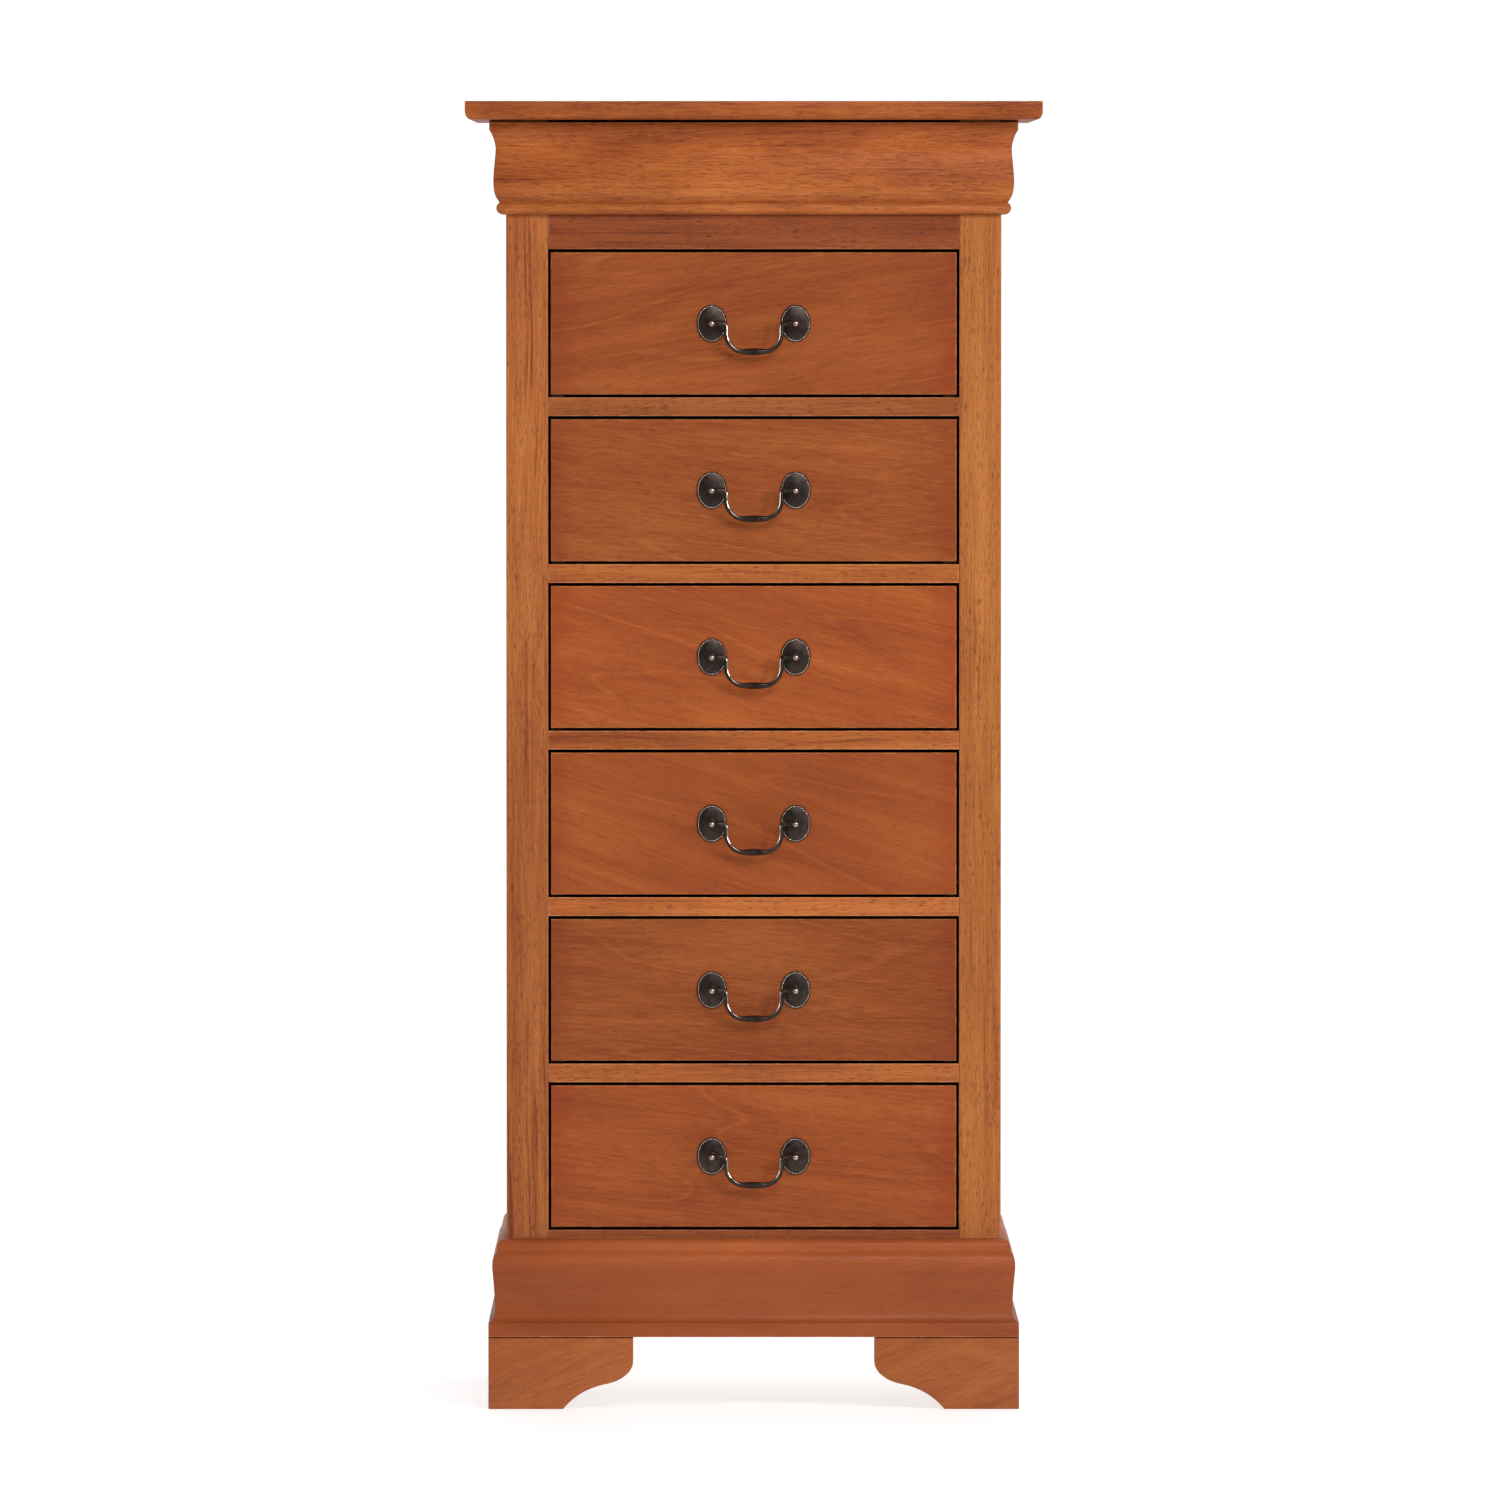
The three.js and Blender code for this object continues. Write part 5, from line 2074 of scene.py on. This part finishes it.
@dataclass
class DrawerBank:
    """The drawers: their fronts, boxes and pulls."""

    fronts: tuple[FrontBoard, ...] = (
        FrontBoard(0.96, 0.42, 12.0),
        FrontBoard(0.9, 0.58, -7.0),
        FrontBoard(1.14, 0.36, -18.0),
        FrontBoard(1.03, 0.26, -22.0),
        FrontBoard(0.82, 0.56, -5.0),
        FrontBoard(1.02, 0.44, -9.0),
    )
    front_depth: float = 17 * MM

    def build_pulls(self) -> None:
        """Model one left rosette, one right rosette and one bail, and copy them to each drawer."""
        metal = ANTIQUE_BRONZE.material()
        left = Rosette().build("rosette")
        right = Bench.copy(left, "rosette_right")
        Bench.turn(right, math.pi, 1)
        bail = BailRod().build("bail")
        for number in range(1, len(self.fronts) + 1):
            name = f"drawer_{number}"
            face = Box.of(f"{name}_front").low.y
            for side, master in zip(Side, (left, right)):
                node = f"{name}_pull_{side.word}"
                middle = Box.of(node).middle
                piece = Bench.copy(master, f"{name}_rosette_{side.word}")
                Bench.move(piece, Vector((middle.x, face, middle.z)))
                finish_piece(piece, name, metal, "antique_bronze", node)
            node = f"{name}_bail"
            pivot = Box.of(f"{name}_pull_left").middle.z
            rod = Bench.copy(bail, f"{name}_bail_rod")
            Bench.move(rod, Vector((0, Box.of(node).middle.y, pivot)))
            finish_piece(rod, f"bail_{number}", metal, "antique_bronze", node)
        for master in (left, right, bail):
            bpy.data.objects.remove(master)

    def dress(self) -> None:
        """Finish the fronts, boxes, bottoms and the hidden drawer's tray."""
        for i, sort in enumerate(self.fronts):
            name = f"drawer_{i + 1}"
            box = Box.of(f"{name}_front")
            lean = math.radians(sort.lean)
            veneer = replace(VENEER, lean=lean, fibre_share=sort.fibre_share)
            stained = box.low.y + self.front_depth
            # Painted shade on the front's edges inside the opening.
            cut = Cut(name, Grain.ACROSS, Seed.FRONTS + i, sort.tone, box, stained, opening())
            dress(f"{name}_front", veneer.material(cut))
            wood = BARE_WOOD.material(f"bare_wood_{i + 1}", Grain.BACK, Seed.BOXES + i)
            dress(f"{name}_box", wood)
            ply = BARE_WOOD.material(f"ply_{i + 1}", Grain.ACROSS, Seed.BOTTOMS + i)
            dress(f"{name}_bottom", ply)
        tray = BARE_WOOD.material("bare_wood_tray", Grain.BACK, Seed.TRAY)
        dress("frieze_drawer_tray", tray)


def set_up(data: bpy.types.ID, name: str, place: Place, aim: Place) -> Piece:
    """Make the object of a light or camera, at one place and pointed at another.

    Args:
        data: The light's or camera's data.
        name: The object's name.
        place: Where it is.
        aim: Where it points.

    Returns:
        The object.
    """
    thing = bpy.data.objects.new(name, data)
    bpy.context.scene.collection.objects.link(thing)
    thing.location = place
    towards = Vector(aim) - Vector(place)
    thing.rotation_euler = towards.to_track_quat("-Z", "Y").to_euler()
    return thing


@dataclass(frozen=True)
class SoftBox:
    """A rectangular studio light: its name, place, width and height, and power in watts."""

    name: str
    place: Place
    size: Point
    power: float

    def hang(self, aim: Place) -> None:
        """Hang the light so that it faces a place.

        Args:
            aim: The place.
        """
        data = bpy.data.lights.new(self.name, "AREA")
        data.shape = "RECTANGLE"
        data.size, data.size_y = self.size
        data.energy = self.power
        set_up(data, self.name, self.place, aim)


@dataclass
class Studio:
    """A pale floor, soft light from above and both sides, and a long lens."""

    place: Place = (-0.03, -13.2, 1.162)
    aim: Place = (-0.0037, -0.18, 0.6538)
    view_height: float = 1.484
    sensor: float = 36.0
    far: float = 100.0
    lit_aim: Place = (0.0, 0.0, 0.75)
    lights: tuple[SoftBox, ...] = (
        SoftBox("soft_box_above", (1.0, -3.1, 2.9), (2.2, 1.2), 65.0),
        SoftBox("soft_box_left", (-3.0, -2.0, 1.5), (0.9, 1.6), 17.0),
        SoftBox("soft_box_right", (3.1, -2.7, 1.7), (0.9, 1.3), 62.0),
    )
    room: float = 0.24
    backdrop: float = 1.0
    backdrop_edge: float = 0.3
    seen_white: float = 1.05
    floor_size: float = 60.0
    floor_white: float = 0.4
    floor_roughness: float = 0.6
    floor_glow: float = 0.68
    floor_fade: Point = (1.2, 4.5)

    def build(self) -> None:
        """Make the camera, the lights, the world and the floor."""
        self._camera()
        for light in self.lights:
            light.hang(self.lit_aim)
        self._world()
        self._floor()
        bpy.context.scene.view_settings.view_transform = "Standard"

    def _camera(self) -> None:
        """The camera, far off and a little below the top, which looks down at the middle."""
        data = bpy.data.cameras.new("long_lens")
        data.sensor_width = self.sensor
        distance = (Vector(self.aim) - Vector(self.place)).length
        data.lens = self.sensor * distance / self.view_height
        data.clip_end = self.far
        bpy.context.scene.camera = set_up(data, "camera", self.place, self.aim)

    def _world(self) -> None:
        """White for the camera; as a light, a white backdrop behind and a dim room in front."""
        world = bpy.data.worlds.new("white_room")
        bpy.context.scene.world = world
        board = NodeBoard(world)
        ranges = {"From Min": 0.0, "From Max": self.backdrop_edge}
        glows = {"To Min": self.room, "To Max": self.backdrop}
        depth = board.parts(board.node("TexCoord", {}).outputs["Generated"])[1]
        glow = board.node("MapRange", {"Value": depth} | ranges | glows).outputs[0]
        lit = board.nodes["Background"]
        board.feed(lit.inputs["Color"], WHITE)
        board.feed(lit.inputs["Strength"], glow)
        seen = board.node("Background", {"Color": WHITE, "Strength": self.seen_white})
        to_camera = board.node("LightPath", {}).outputs["Is Camera Ray"]
        inputs = {0: to_camera, 1: lit.outputs[0], 2: seen.outputs[0]}
        surface = board.node("MixShader", inputs).outputs[0]
        board.feed(board.nodes["World Output"].inputs["Surface"], surface)

    def _floor(self) -> None:
        """A plain pale floor that fades out far from the chest and is clear from below."""
        Bench.put_down()
        bpy.ops.mesh.primitive_plane_add(size=self.floor_size)
        floor = bpy.context.object
        floor.name = "floor"
        board = NodeBoard(bpy.data.materials.new("pale_floor"))
        board.shade(
            {
                "Base Color": (self.floor_white, self.floor_white, self.floor_white, 1.0),
                "Roughness": self.floor_roughness,
                "Emission Color": WHITE,
                "Emission Strength": self.floor_glow,
            }
        )
        away = board.node("VectorMath", {0: board.place()}, operation="LENGTH").outputs["Value"]
        faded = board.between(away, *self.floor_fade)
        below = board.node("NewGeometry", {}).outputs["Backfacing"]
        shown = board.nodes["Principled BSDF"].outputs[0]
        clear = board.node("BsdfTransparent", {}).outputs[0]
        inputs = {0: board.maths("MAXIMUM", faded, below), 1: shown, 2: clear}
        surface = board.node("MixShader", inputs).outputs[0]
        board.feed(board.nodes["Material Output"].inputs["Surface"], surface)
        floor.data.materials.append(board.owner)


def main() -> None:
    """Build and dress every piece, then set up the studio."""
    logging.basicConfig(level=logging.INFO, format="%(name)s: %(message)s")
    top = TopBoard()
    top.dress(top.build())
    frieze = MouldedGirdle(
        outline=FriezeOutline(),
        front="frieze_drawer_front",
        side="frieze_return",
        front_body="frieze_drawer",
        seed=Seed.FRIEZE,
        tones=(0.91, 0.9, 0.9),
        # Painted light: the frieze's lower part lighter, as light from below would make it.
        fade=Fade(1226 * MM, 1204 * MM, (1.13, 1.28, 1.45)),
        finish=MOULDED_WOOD,
    )
    frieze.dress(frieze.build())
    plinth = MouldedGirdle(
        outline=PlinthOutline(),
        front="plinth_front",
        side="plinth_side",
        front_body="case",
        seed=Seed.PLINTH,
        tones=(0.9, 0.9, 0.9),
        # Painted light: the plinth's top, its bead, lighter, as it faces up to the light.
        fade=Fade(128 * MM, 156 * MM, (1.27, 1.34, 1.42)),
        finish=PLINTH_WOOD,
    )
    plinth.dress(plinth.build())
    feet = Feet()
    feet.dress(feet.build())
    Case().dress()
    drawers = DrawerBank()
    drawers.build_pulls()
    drawers.dress()
    Studio().build()


if __name__ == "__main__":
    main()
